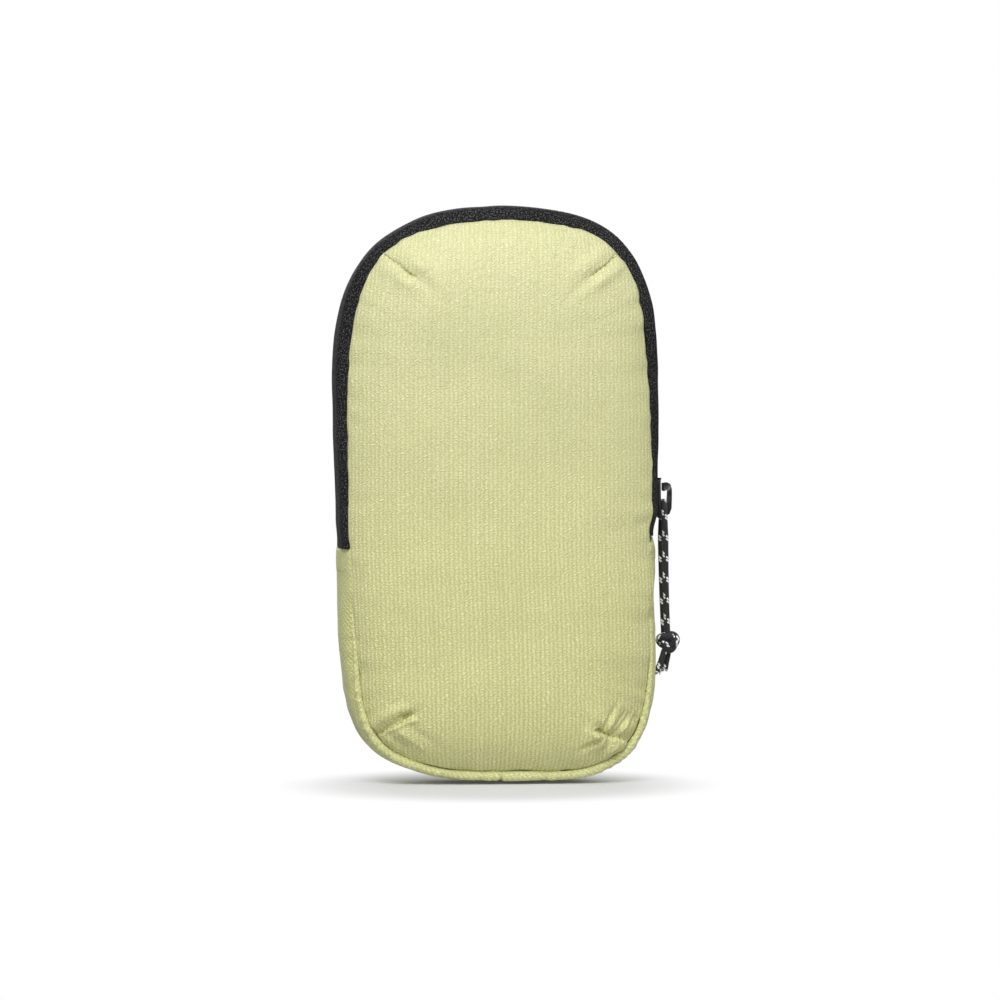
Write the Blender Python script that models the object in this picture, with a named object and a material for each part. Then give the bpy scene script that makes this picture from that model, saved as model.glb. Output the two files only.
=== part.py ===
"""Zipped pouch that is carried on a backpack's shoulder strap.

The frame stands at the middle of the back panel's outer face: X runs to the
wearer's left as seen from the front, Y points into the wearer, Z is up.
"""
import math

import bmesh
import bpy
import numpy as np
from mathutils import Vector

# Pouch outline, seen from the front
HEIGHT = 0.180
TOP_HALF_WIDTH = 0.0505
BOTTOM_HALF_WIDTH = 0.0486
TOP_ARCH_HEIGHT = 0.060
BOTTOM_ARCH_HEIGHT = 0.042
TOP_ARCH_POWER = 2.7
BOTTOM_ARCH_POWER = 3.0
NARROWED_Z = -0.0360

# Depths of the wall and of the front panel's crown
WALL_DEPTH = 0.0196
CROWN_HEIGHT = 0.0103
CROWN_POWER = 3.0
CROWN_ROLL = 0.75
PANEL_INSET = 0.0038
SPINE_TOP_Z = 0.044
SPINE_BOTTOM_Z = -0.050

# Cloth and foam
SHELL_CLOTH = 0.0008
FRONT_CLOTH = 0.0006
LINING_CLOTH = 0.0005
FOAM = 0.0028
GAP = 0.0003

# Zip
CHAIN_DEPTH = 0.01195
CHAIN_SLOT = 0.0015
CHAIN_SHUT = 0.0005
CHAIN_EASE = 0.010
SLIDE_TRAVEL = 0.030
TAPE_THICKNESS = 0.0008
TAPE_TURN_IN = 0.0034
TAPE_LEAN = 0.0003
COIL_WIDTH = 0.0013
COIL_HEIGHT = 0.0019
ZIP_END_Z = -0.0170
STOP_LENGTH = 0.0015
STOP_FROM_END = 0.0010
STOP_REACH = 0.0026
STOP_THICKNESS = 0.0010

# Front flap's fold, a line across the pouch just above the parked slider
FOLD_Z = 0.0065
FOLD_HALF_ANGLE = math.radians(28)

# Lower wall and its cord edging
GUSSET_BULGE = 0.0004
GUSSET_END_INSET = 0.0012
GUSSET_FRONT_DEPTH = 0.0173
PIPING_RADIUS = 0.0013
PIPING_INSET = 0.0022
PIPING_DEPTH = 0.0190
PIPING_LAP_X = 0.0020
BINDING_WIDTH = 0.0025
BINDING_THICKNESS = 0.0010

# Slider
SLIDER_Z = -0.0012
SLIDER_LENGTH = 0.0128
SLIDER_NOSE_HALF_WIDTH = 0.0044
SLIDER_TAIL_HALF_WIDTH = 0.0034
SLIDER_CORNER = 0.0012
TOP_PLATE = 0.0010
BOTTOM_PLATE = 0.0010
FLANGE = 0.0006
DIAMOND_LENGTH = 0.0036
DIAMOND_HALF_WIDTH = 0.00045
DIAMOND_FROM_NOSE = 0.0012
CROWN_HALF_WIDTH = 0.0011
CROWN_BAR = 0.0015
CROWN_WINDOW = 0.0024
CROWN_ROOT = 0.0027
CROWN_FOOT_FROM_NOSE = 0.0006
CROWN_TOP_FROM_TAIL = 0.0018
CROWN_NOSE = 0.0028
CROWN_NOSE_GAP = 0.0004

# Pull cord, doubled through the crown and tied
CORD_DIAMETER = 0.0019
CORD_CLEARANCE = 0.00025
BIGHT_RADIUS = 0.0029
STRAND_LENGTH = 0.0372
STRAND_DRIFT = 0.0006
STRAND_HALF_SPREAD = 0.00090
STRAND_SIDE_STEP = 0.00070
KNOT_OUT = 0.0014
KNOT_RING = 0.00185
KNOT_WEAVE = 0.00095
KNOT_CORD = 0.0015
KNOT_DEPTH = 0.0030
TAIL_LENGTH = 0.0056
TAIL_SPREAD = 0.0016
TAIL_DROP_STEP = 0.0010

# Two straps that close round the shoulder strap
STRAP_WIDTH = 0.025
WEBBING = 0.0014
UPPER_STRAP_Z = 0.047
LOWER_STRAP_Z = -0.042
PAD_INNER_X = 0.024
STRAP_EDGE_MARGIN = 0.0125
TURN_RADIUS = 0.0063
OVERLAP_HALF = 0.014
PATCH_THICKNESS = 0.0010
PATCH_MARGIN = 0.0015
BARTACK_WIDTH = 0.0020
BARTACK_HEIGHT = 0.0005
BARTACK_FROM_END = 0.0030

# Flat middle of the back, where the shoulder strap bears: it stands proud of the sewn border
BEARING_HALF_WIDTH = 0.030
BEARING_TOP_Z = 0.028
BEARING_BOTTOM_Z = -0.022
BEARING_RISE = 0.0002
BEARING_SLOPE = 0.0015

# Mesh fineness
AROUND = 80
TABLE_STEPS = 240
RING_SHARES = (0.0, 0.035, 0.09, 0.17, 0.29, 0.45, 0.68, 1.0)

# Sections as shares: of the turn-in across, of the depth from chain to seam along
TAPE_SHARES = ((0.0, 0.0), (0.0, 0.5), (0.12, 0.69), (0.5, 0.86), (1.0, 1.0))
GUSSET_SHARES = (0.35, 0.7)

LIME = (0.68, 0.67, 0.34, 1)
LIME_DARK = (0.50, 0.51, 0.24, 1)
LINING_GREY = (0.22, 0.23, 0.23, 1)
FOAM_GREY = (0.35, 0.35, 0.36, 1)
BLACK = (0.03, 0.03, 0.032, 1)
METAL_BLACK = (0.025, 0.025, 0.027, 1)


def clear_scene():
    for old in list(bpy.data.objects):
        bpy.data.objects.remove(old, do_unlink=True)


def material(name, colour, roughness, metallic=0.0):
    made = bpy.data.materials.new(name)
    made.use_nodes = True
    surface = made.node_tree.nodes["Principled BSDF"]
    surface.inputs["Base Color"].default_value = colour
    surface.inputs["Roughness"].default_value = roughness
    surface.inputs["Metallic"].default_value = metallic
    return made


def add_object(name, bm, look, origin=(0, 0, 0), smooth=True):
    """Makes a mesh object from bm, with its origin moved to the given point."""
    bmesh.ops.translate(bm, vec=-Vector(origin), verts=bm.verts)
    mesh = bpy.data.meshes.new(name)
    bm.to_mesh(mesh)
    bm.free()
    if smooth:
        mesh.shade_smooth()
        mesh.set_sharp_from_angle(angle=math.radians(40))
    mesh.materials.append(look)
    made = bpy.data.objects.new(name, mesh)
    made.location = origin
    bpy.context.scene.collection.objects.link(made)
    return made


def thicken(piece, thickness, offset=-1.0):
    layer = piece.modifiers.new("thickness", "SOLIDIFY")
    layer.thickness = thickness
    layer.offset = offset
    layer.use_even_offset = True
    layer.use_rim = True
    return piece


# Outline table: arc length from the top centre down the +X side to the bottom
def half_outline():
    top_z = HEIGHT / 2 - TOP_ARCH_HEIGHT
    low_z = BOTTOM_ARCH_HEIGHT - HEIGHT / 2
    points = []
    for k in range(TABLE_STEPS):
        turn = math.pi / 2 * (1 - k / TABLE_STEPS)
        x = TOP_HALF_WIDTH * math.cos(turn) ** (2 / TOP_ARCH_POWER)
        z = top_z + TOP_ARCH_HEIGHT * math.sin(turn) ** (2 / TOP_ARCH_POWER)
        points.append((x if k else 0.0, z))
    for k in range(TABLE_STEPS):
        z = top_z + (low_z - top_z) * k / TABLE_STEPS
        share = min(max((ZIP_END_Z - z) / (ZIP_END_Z - NARROWED_Z), 0.0), 1.0)
        ease = share * share * (3 - 2 * share)
        points.append((TOP_HALF_WIDTH + (BOTTOM_HALF_WIDTH - TOP_HALF_WIDTH) * ease, z))
    for k in range(TABLE_STEPS + 1):
        turn = math.pi / 2 * k / TABLE_STEPS
        x = BOTTOM_HALF_WIDTH * max(math.cos(turn), 0.0) ** (2 / BOTTOM_ARCH_POWER)
        z = low_z - BOTTOM_ARCH_HEIGHT * math.sin(turn) ** (2 / BOTTOM_ARCH_POWER)
        points.append((x if k < TABLE_STEPS else 0.0, z))
    return np.array(points)


HALF = half_outline()
HALF_RUN = np.concatenate([[0.0], np.cumsum(np.hypot(*np.diff(HALF, axis=0).T))])
HALF_LENGTH = float(HALF_RUN[-1])
PERIMETER = 2 * HALF_LENGTH
SLOPES = np.gradient(HALF, HALF_RUN, axis=0)
NORMALS = np.column_stack([-SLOPES[:, 1], SLOPES[:, 0]])
NORMALS[0] = (0, 1)
NORMALS[-1] = (0, -1)


def run_at_height(z, side):
    """Arc length at which the outline passes height z, on the +X or -X side."""
    run = float(np.interp(-z, -HALF[:, 1], HALF_RUN))
    return run if side > 0 else PERIMETER - run


def rim_point(run, inset, depth):
    """A point on the wall: inset is measured inward, depth towards the front."""
    run = run % PERIMETER
    side = 1 if run <= HALF_LENGTH else -1
    near = run if side > 0 else PERIMETER - run
    x, z = (float(np.interp(near, HALF_RUN, HALF[:, a])) for a in (0, 1))
    nx, nz = (float(np.interp(near, HALF_RUN, NORMALS[:, a])) for a in (0, 1))
    size = math.hypot(nx, nz)
    return Vector((side * (x - inset * nx / size), -depth, z - inset * nz / size))


def strip(section_at, start, end, steps):
    """Sweeps an open section of (inset, depth) points along the outline."""
    closed = abs(end - start - PERIMETER) < GAP
    bm = bmesh.new()
    count = steps if closed else steps + 1
    rings = []
    for k in range(count):
        run = start + (end - start) * k / steps
        rings.append([bm.verts.new(rim_point(run, *spot)) for spot in section_at(run)])
    for k in range(steps):
        here, there = rings[k], rings[(k + 1) % count]
        for a in range(len(here) - 1):
            bm.faces.new((here[a], here[a + 1], there[a + 1], there[a]))
    return bm


def steady(section):
    """The same section all the way along."""
    return lambda run: section


def slot_half(run):
    """Half the chain's slot: open for the diamond where the slider runs, else shut."""
    above = run_at_height(SLIDER_Z + SLIDER_LENGTH / 2 + SLIDE_TRAVEL, 1) - run
    share = min(max(above / CHAIN_EASE, 0.0), 1.0)
    return (CHAIN_SLOT + (CHAIN_SHUT - CHAIN_SLOT) * share) / 2


def crown_depth(share, start_depth, rise):
    return start_depth + rise * (1 - (1 - share) ** CROWN_POWER) ** CROWN_ROLL


def crown(inset, start_depth, rise):
    """The front's pillowed skin, as rings that close on a line up the middle."""
    bm = bmesh.new()
    rings = []
    for share in RING_SHARES:
        ring = []
        for k in range(AROUND):
            edge = rim_point(PERIMETER * k / AROUND, inset, start_depth)
            spine = Vector((0, 0, min(max(edge.z, SPINE_BOTTOM_Z), SPINE_TOP_Z)))
            spot = edge.lerp(spine, share)
            spot.y = -crown_depth(share, start_depth, rise)
            ring.append(bm.verts.new(spot))
        rings.append(ring)
    for outer, inner in zip(rings, rings[1:]):
        for k in range(AROUND):
            n = (k + 1) % AROUND
            bm.faces.new((outer[k], inner[k], inner[n], outer[n]))
    bmesh.ops.remove_doubles(bm, verts=bm.verts, dist=GAP / 10)
    return bm


# The fold is two planes that meet on the hinge line and lean apart to the front
HINGE_DEPTH = CHAIN_DEPTH
HINGE = Vector((0, -HINGE_DEPTH, FOLD_Z))


def keep_side(bm, lean, above, clearance=0.0):
    """Cuts an open skin at a fold plane and keeps what lies above or below it."""
    up = Vector((0, math.sin(lean), math.cos(lean)))
    spot = HINGE + up * (clearance if above else -clearance)
    everything = bm.verts[:] + bm.edges[:] + bm.faces[:]
    bmesh.ops.bisect_plane(
        bm,
        geom=everything,
        dist=GAP / 100,
        plane_co=spot,
        plane_no=up,
        clear_inner=above,
        clear_outer=not above,
    )
    return bm


def below_fold(bm):
    return keep_side(bm, -FOLD_HALF_ANGLE, above=False)


def above_fold(bm):
    return keep_side(bm, FOLD_HALF_ANGLE, above=True)


def inside_fold(bm):
    keep_side(bm, -FOLD_HALF_ANGLE, above=True, clearance=GAP)
    return keep_side(bm, FOLD_HALF_ANGLE, above=False, clearance=GAP)


def outline_loop(bm, inset, depth):
    return [bm.verts.new(rim_point(PERIMETER * k / AROUND, inset, depth)) for k in range(AROUND)]


def flat_panel(inset, depth):
    """A flat sheet inside the outline, facing the wearer."""
    bm = bmesh.new()
    bm.faces.new(outline_loop(bm, inset, depth)[::-1])
    bmesh.ops.recalc_face_normals(bm, faces=bm.faces)
    return face_the_wearer(bm)


def face_the_wearer(bm):
    bm.normal_update()
    turned = [face for face in bm.faces if face.normal.y < 0]
    bmesh.ops.reverse_faces(bm, faces=turned)
    return bm


def bearing_panel(inset, depth):
    """The back sheet: its free middle stands a little proud of the sewn border."""
    bm = flat_panel(inset, depth + BEARING_RISE)
    side = BEARING_HALF_WIDTH + BEARING_SLOPE
    cuts = (
        ((0, 0, BEARING_TOP_Z + BEARING_SLOPE), (0, 0, 1)),
        ((0, 0, BEARING_BOTTOM_Z - BEARING_SLOPE), (0, 0, 1)),
        ((side, 0, 0), (1, 0, 0)),
        ((-side, 0, 0), (1, 0, 0)),
    )
    for spot, across in cuts:
        everything = bm.verts[:] + bm.edges[:] + bm.faces[:]
        bmesh.ops.bisect_plane(bm, geom=everything, dist=GAP / 100, plane_co=spot, plane_no=across)
    middle = min(bm.faces, key=lambda face: face.calc_center_median().length)
    bmesh.ops.inset_individual(bm, faces=[middle], thickness=BEARING_SLOPE, use_even_offset=True)
    bmesh.ops.translate(bm, vec=(0, BEARING_RISE, 0), verts=middle.verts)
    return bm


clear_scene()
lime = material("shell_cloth", LIME, 0.62)
lime_edge = material("edging_cloth", LIME_DARK, 0.66)
black = material("zip_tape", BLACK, 0.8)
nylon = material("zip_coil", BLACK, 0.45)
cast = material("slider_metal", METAL_BLACK, 0.38, 0.6)
grey = material("lining_cloth", LINING_GREY, 0.75)
padding = material("padding_foam", FOAM_GREY, 0.95)
webbing = material("webbing", BLACK, 0.82)
fastener = material("hook_and_loop", BLACK, 0.95)
cordage = material("cord", BLACK, 0.85)

# Back: outer cloth, foam and lining, one behind the other
foam_depth = SHELL_CLOTH + GAP
lining_depth = foam_depth + FOAM + GAP
inner_depth = lining_depth + LINING_CLOTH
wall_inset = SHELL_CLOTH + 2 * TAPE_LEAN + GAP
back_cloth = SHELL_CLOTH - BEARING_RISE
thicken(add_object("back_panel_outer", bearing_panel(TAPE_LEAN, 0.0), lime), back_cloth)
thicken(add_object("back_foam", flat_panel(wall_inset, foam_depth), padding), FOAM)
thicken(add_object("back_lining", flat_panel(wall_inset, lining_depth), grey), LINING_CLOTH)

# Seam binding, folded over the raw edges inside the back seam
binding_inset = wall_inset + LINING_CLOTH + COIL_WIDTH / 2
binding_depth = inner_depth + GAP
binding_section = [(binding_inset + BINDING_WIDTH, binding_depth), (binding_inset, binding_depth)]
binding = strip(steady(binding_section), 0.0, PERIMETER, AROUND)
thicken(add_object("back_seam_binding", binding, grey), BINDING_THICKNESS)

# Zip tapes: the back one stands square to the back, the front one turns in
wall_start = SHELL_CLOTH + GAP
coil_inset = TAPE_THICKNESS + GAP
left_end = run_at_height(ZIP_END_Z, -1) - PERIMETER
right_end = run_at_height(ZIP_END_Z, 1)
zip_steps = round((right_end - left_end) / PERIMETER * AROUND)


def back_tape_section(run):
    edge = CHAIN_DEPTH - slot_half(run)
    return [(TAPE_LEAN, wall_start), (0.0, (wall_start + edge) / 2), (0.0, edge)]


def front_tape_section(run):
    edge = CHAIN_DEPTH + slot_half(run)
    return [(TAPE_TURN_IN * a, edge + (WALL_DEPTH - edge) * b) for a, b in TAPE_SHARES]


def back_coil_section(run):
    edge = CHAIN_DEPTH - slot_half(run)
    return [(coil_inset, edge - COIL_WIDTH), (coil_inset, edge)]


def front_coil_section(run):
    edge = CHAIN_DEPTH + slot_half(run)
    return [(coil_inset, edge), (coil_inset, edge + COIL_WIDTH)]


fold_reach = WALL_DEPTH
stretch_steps = 4


def tape_stretch(section_at, side, top_z, bottom_z, steps):
    """A stretch of swept section on one side, from the top height to the bottom."""
    top, bottom = (run_at_height(z, side) for z in (top_z, bottom_z))
    if side < 0:
        top, bottom = bottom - PERIMETER, top - PERIMETER
    return strip(section_at, top, bottom, steps)


for side, word in ((-1, "left"), (1, "right")):
    low = tape_stretch(front_tape_section, side, FOLD_Z, ZIP_END_Z, stretch_steps)
    thicken(add_object(f"zip_tape_front_{word}", below_fold(low), black), TAPE_THICKNESS)
    bend = tape_stretch(front_tape_section, side, FOLD_Z + fold_reach, FOLD_Z - fold_reach, 2)
    thicken(add_object(f"zip_tape_fold_{word}", inside_fold(bend), black), TAPE_THICKNESS)
    low = tape_stretch(front_coil_section, side, FOLD_Z, ZIP_END_Z, stretch_steps)
    thicken(add_object(f"zip_coil_front_{word}", below_fold(low), nylon), COIL_HEIGHT)

flap_left = run_at_height(FOLD_Z, -1) - PERIMETER
flap_right = run_at_height(FOLD_Z, 1)
flap_steps = round((flap_right - flap_left) / PERIMETER * AROUND)
flap_tape = above_fold(strip(front_tape_section, flap_left, flap_right, flap_steps))
thicken(add_object("zip_tape_front_flap", flap_tape, black, origin=HINGE), TAPE_THICKNESS)
flap_coil = above_fold(strip(front_coil_section, flap_left, flap_right, flap_steps))
thicken(add_object("zip_coil_front_flap", flap_coil, nylon, origin=HINGE), COIL_HEIGHT)
back_tape = strip(back_tape_section, left_end, right_end, zip_steps)
thicken(add_object("zip_tape_back", back_tape, black), TAPE_THICKNESS)
back_coil = strip(back_coil_section, left_end, right_end, zip_steps)
thicken(add_object("zip_coil_back", back_coil, nylon), COIL_HEIGHT)

# Stops, clamped across both coils near the tape ends
stop_inset = coil_inset + COIL_HEIGHT + GAP
stop_section = [(stop_inset, CHAIN_DEPTH - STOP_REACH), (stop_inset, CHAIN_DEPTH + STOP_REACH)]
for side, word in ((-1, "left"), (1, "right")):
    stop_bottom = ZIP_END_Z + STOP_FROM_END
    stop = tape_stretch(steady(stop_section), side, stop_bottom + STOP_LENGTH, stop_bottom, 1)
    thicken(add_object(f"zip_stop_{word}", stop, cast), STOP_THICKNESS)

# Front skin and its lining, each in three lengths: below, across and above the fold
lining_drop = FRONT_CLOTH + GAP
panel_depth = WALL_DEPTH + GAP
for name, look, inset, depth, rise, cloth in (
    ("front_panel", lime, PANEL_INSET, panel_depth, CROWN_HEIGHT, FRONT_CLOTH),
    ("front_lining", grey, PANEL_INSET + lining_drop, panel_depth - lining_drop, CROWN_HEIGHT, LINING_CLOTH),
):
    thicken(add_object(f"{name}_lower", below_fold(crown(inset, depth, rise)), look), cloth)
    thicken(add_object(f"{name}_fold", inside_fold(crown(inset, depth, rise)), look), cloth)
    thicken(add_object(f"{name}_flap", above_fold(crown(inset, depth, rise)), look, origin=HINGE), cloth)

# Lower wall, its lining and the corded edge, which laps at the bottom
gusset_start = run_at_height(ZIP_END_Z - GAP, 1)
gusset_end = run_at_height(ZIP_END_Z - GAP, -1)
gusset_steps = round((gusset_end - gusset_start) / PERIMETER * AROUND)
gusset_section = [
    (TAPE_LEAN, wall_start),
    (-GUSSET_BULGE, GUSSET_FRONT_DEPTH * GUSSET_SHARES[0]),
    (-GUSSET_BULGE, GUSSET_FRONT_DEPTH * GUSSET_SHARES[1]),
    (GUSSET_END_INSET, GUSSET_FRONT_DEPTH),
]
gusset = strip(steady(gusset_section), gusset_start, gusset_end, gusset_steps)
thicken(add_object("gusset", gusset, lime), SHELL_CLOTH)
gusset_lining_inset = SHELL_CLOTH + TAPE_LEAN + GAP
gusset_lining_section = [
    (gusset_lining_inset, inner_depth + GAP + BINDING_THICKNESS + GAP),
    (gusset_lining_inset, GUSSET_FRONT_DEPTH * GUSSET_SHARES[1]),
    (gusset_lining_inset + GUSSET_END_INSET, GUSSET_FRONT_DEPTH),
]
gusset_lining = strip(steady(gusset_lining_section), gusset_start, gusset_end, gusset_steps)
thicken(add_object("gusset_lining", gusset_lining, grey), LINING_CLOTH)


def tube(name, points, diameter, look, resolution=2, origin=(0, 0, 0), closed=False):
    curve = bpy.data.curves.new(name, "CURVE")
    curve.dimensions = "3D"
    curve.bevel_depth = diameter / 2
    curve.bevel_resolution = resolution
    curve.use_fill_caps = True
    line = curve.splines.new("POLY")
    line.points.add(len(points) - 1)
    for spot, place in zip(line.points, points):
        spot.co = (*(Vector(place) - Vector(origin)), 1)
    line.use_smooth = True
    line.use_cyclic_u = closed
    curve.materials.append(look)
    made = bpy.data.objects.new(name, curve)
    made.location = origin
    bpy.context.scene.collection.objects.link(made)
    return made


lap_run = HALF_LENGTH - PIPING_LAP_X
for word, start, end in (
    ("right", gusset_start, lap_run - GAP / 2),
    ("left", lap_run + GAP / 2, gusset_end),
):
    count = round((end - start) / PERIMETER * AROUND)
    route = [
        rim_point(start + (end - start) * k / count, PIPING_INSET, PIPING_DEPTH)
        for k in range(count + 1)
    ]
    tube(f"piping_{word}", route, 2 * PIPING_RADIUS, lime_edge)

# Slider: two plates joined by the diamond, flanges below, a cast crown on top
slider_face_x = TOP_HALF_WIDTH + GAP
plate_outer_x = slider_face_x + TOP_PLATE
lower_plate_top_x = TOP_HALF_WIDTH - coil_inset - COIL_HEIGHT - GAP
flange_top_x = TOP_HALF_WIDTH - TAPE_THICKNESS - GAP
nose_z = SLIDER_Z - SLIDER_LENGTH / 2
tail_z = SLIDER_Z + SLIDER_LENGTH / 2


def prism(outline, low, high, axis):
    """Extrudes a closed outline of (a, z) points from low to high along X or Y."""
    bm = bmesh.new()
    if axis == "X":
        ring = [bm.verts.new((low, a, z)) for a, z in outline]
    else:
        ring = [bm.verts.new((a, low, z)) for a, z in outline]
    face = bm.faces.new(ring)
    grown = bmesh.ops.extrude_face_region(bm, geom=[face])
    moved = [v for v in grown["geom"] if isinstance(v, bmesh.types.BMVert)]
    way = Vector((high - low, 0, 0)) if axis == "X" else Vector((0, high - low, 0))
    bmesh.ops.translate(bm, vec=way, verts=moved)
    bmesh.ops.recalc_face_normals(bm, faces=bm.faces)
    return bm


def plate_outline(shrink=0.0):
    """Slider plate: wide shoulders at the nose, drawn in towards the tail."""
    nose, tail = SLIDER_NOSE_HALF_WIDTH - shrink, SLIDER_TAIL_HALF_WIDTH - shrink
    cut = SLIDER_CORNER
    waist_z = nose_z + SLIDER_LENGTH * 0.45
    right = [
        (nose - cut, nose_z),
        (nose, nose_z + cut),
        (nose, waist_z),
        (tail, tail_z - cut),
        (tail - cut, tail_z),
    ]
    points = right + [(-y, z) for y, z in right[::-1]]
    return [(y - CHAIN_DEPTH, z) for y, z in points]


def union(base, parts):
    for number, part in enumerate(parts):
        part.hide_render = True
        part.display_type = "WIRE"
        joint = base.modifiers.new(f"join_{number}", "BOOLEAN")
        joint.operation = "UNION"
        joint.solver = "EXACT"
        joint.object = part
    return base


slider_origin = (slider_face_x, -CHAIN_DEPTH, SLIDER_Z)
overrun = GAP
top_plate = prism(plate_outline(), slider_face_x, plate_outer_x, "X")
bottom_plate = prism(plate_outline(), lower_plate_top_x - BOTTOM_PLATE, lower_plate_top_x, "X")
parts = [add_object("slider_bottom_plate", bottom_plate, cast, smooth=False)]
for side in (-1, 1):
    outer = [(side * SLIDER_NOSE_HALF_WIDTH, nose_z + SLIDER_CORNER)]
    outer.append((side * SLIDER_NOSE_HALF_WIDTH, nose_z + SLIDER_LENGTH * 0.45))
    outer.append((side * SLIDER_TAIL_HALF_WIDTH, tail_z - SLIDER_CORNER))
    inner = [(y - side * FLANGE, z) for y, z in outer[::-1]]
    shape = [(y - CHAIN_DEPTH, z) for y, z in outer + inner]
    flange = prism(shape, lower_plate_top_x - overrun, flange_top_x, "X")
    parts.append(add_object(f"slider_flange_{side}", flange, cast, smooth=False))
diamond_z = nose_z + DIAMOND_FROM_NOSE
rhomb = [
    (-CHAIN_DEPTH, diamond_z),
    (DIAMOND_HALF_WIDTH - CHAIN_DEPTH, diamond_z + DIAMOND_LENGTH / 3),
    (-CHAIN_DEPTH, diamond_z + DIAMOND_LENGTH),
    (-DIAMOND_HALF_WIDTH - CHAIN_DEPTH, diamond_z + DIAMOND_LENGTH / 3),
]
diamond = prism(rhomb, lower_plate_top_x - overrun, slider_face_x + overrun, "X")
parts.append(add_object("slider_diamond", diamond, cast, smooth=False))
crown_low = nose_z + CROWN_FOOT_FROM_NOSE
crown_high = tail_z - CROWN_TOP_FROM_TAIL
window_x = plate_outer_x + CROWN_WINDOW
bar_x = window_x + CROWN_BAR
round_off = CROWN_BAR / 3
hook = [
    (plate_outer_x - overrun, crown_low),
    (bar_x - round_off, crown_low),
    (bar_x, crown_low + round_off),
    (bar_x, crown_high - round_off),
    (bar_x - round_off, crown_high),
    (plate_outer_x + CROWN_NOSE_GAP, crown_high),
    (plate_outer_x + CROWN_NOSE_GAP, crown_high - CROWN_NOSE + round_off),
    (window_x - round_off, crown_high - CROWN_NOSE),
    (window_x, crown_high - CROWN_NOSE - round_off),
    (window_x, crown_low + CROWN_ROOT + round_off),
    (window_x - round_off, crown_low + CROWN_ROOT),
    (plate_outer_x - overrun, crown_low + CROWN_ROOT),
]
hook_body = prism(hook, -CHAIN_DEPTH - CROWN_HALF_WIDTH, -CHAIN_DEPTH + CROWN_HALF_WIDTH, "Y")
parts.append(add_object("slider_crown", hook_body, cast, smooth=False))
slider = add_object("zip_slider", top_plate, cast, origin=slider_origin, smooth=False)
union(slider, parts)

# Pull cord: up the front of the crown's foot, through its window, down the back
bight_x = plate_outer_x + CROWN_WINDOW / 2
bight_z = crown_low + CROWN_ROOT + CORD_CLEARANCE + CORD_DIAMETER / 2
pivot = Vector((bight_x, -CHAIN_DEPTH, bight_z))
bend_centre_z = bight_z - BIGHT_RADIUS
bend_steps = 10
strand_steps = 7
strand_end_z = bend_centre_z - STRAND_LENGTH


def strand_point(side, share):
    """A point on one strand, drawn in, turned half beside the other and drifting outwards."""
    ease = share * share * (3 - 2 * share)
    y = BIGHT_RADIUS + (STRAND_HALF_SPREAD - BIGHT_RADIUS) * ease
    x = bight_x + STRAND_DRIFT * share - side * STRAND_SIDE_STEP * ease
    return Vector((x, side * y - CHAIN_DEPTH, bend_centre_z - STRAND_LENGTH * share))


cord_route = [strand_point(-1, k / strand_steps) for k in range(strand_steps, 0, -1)]
for k in range(bend_steps + 1):
    turn = math.pi * k / bend_steps
    y = -BIGHT_RADIUS * math.cos(turn) - CHAIN_DEPTH
    cord_route.append(Vector((bight_x, y, bend_centre_z + BIGHT_RADIUS * math.sin(turn))))
cord_route += [strand_point(1, k / strand_steps) for k in range(1, strand_steps + 1)]
tube("pull_cord", cord_route, CORD_DIAMETER, cordage, origin=pivot)

# Knot: the cord laid over and under itself in three lobes, drawn tight
knot_reach = KNOT_RING + KNOT_WEAVE + KNOT_CORD / 2
knot_centre = Vector((bight_x + STRAND_DRIFT + KNOT_OUT, -CHAIN_DEPTH, strand_end_z - GAP - knot_reach))
knot_points = 42
knot_route = []
for k in range(knot_points):
    turn = math.tau * k / knot_points
    reach = KNOT_RING + KNOT_WEAVE * math.cos(3 * turn)
    around = 2 * turn + math.pi / 2
    over = KNOT_DEPTH / 2 * math.sin(3 * turn)
    knot_route.append(knot_centre + Vector((reach * math.cos(around), over, reach * math.sin(around))))
tube("pull_cord_knot", knot_route, KNOT_CORD, cordage, origin=pivot, closed=True)

tail_top_z = knot_centre.z - KNOT_RING - KNOT_CORD / 2 - GAP
for number, (side, word) in enumerate(((-1, "front"), (1, "rear"))):
    length = TAIL_LENGTH - number * TAIL_DROP_STEP
    top = Vector((knot_centre.x, side * STRAND_HALF_SPREAD - CHAIN_DEPTH, tail_top_z))
    route = [
        top + Vector((side * TAIL_SPREAD * (k / 3) ** 2, 0, -length * k / 3)) for k in range(4)
    ]
    tube(f"pull_cord_tail_{word}", route, CORD_DIAMETER, cordage, origin=pivot)


# Straps on the back
def path_solid(name, path, thickness, low_z, high_z, look, origin=(0, 0, 0)):
    """A band: an (x, y) path in plan, given its width in Z and its thickness."""
    bm = bmesh.new()
    low = [bm.verts.new((x, y, low_z)) for x, y in path]
    high = [bm.verts.new((x, y, high_z)) for x, y in path]
    for k in range(len(path) - 1):
        bm.faces.new((low[k], low[k + 1], high[k + 1], high[k]))
    return thicken(add_object(name, bm, look, origin=origin), thickness, offset=0.0)


def box(name, low, high, look, origin=(0, 0, 0)):
    bm = bmesh.new()
    bmesh.ops.create_cube(bm, size=1)
    size = Vector(high) - Vector(low)
    bmesh.ops.scale(bm, vec=size, verts=bm.verts)
    bmesh.ops.translate(bm, vec=(Vector(high) + Vector(low)) / 2, verts=bm.verts)
    return add_object(name, bm, look, origin=origin, smooth=False)


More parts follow.
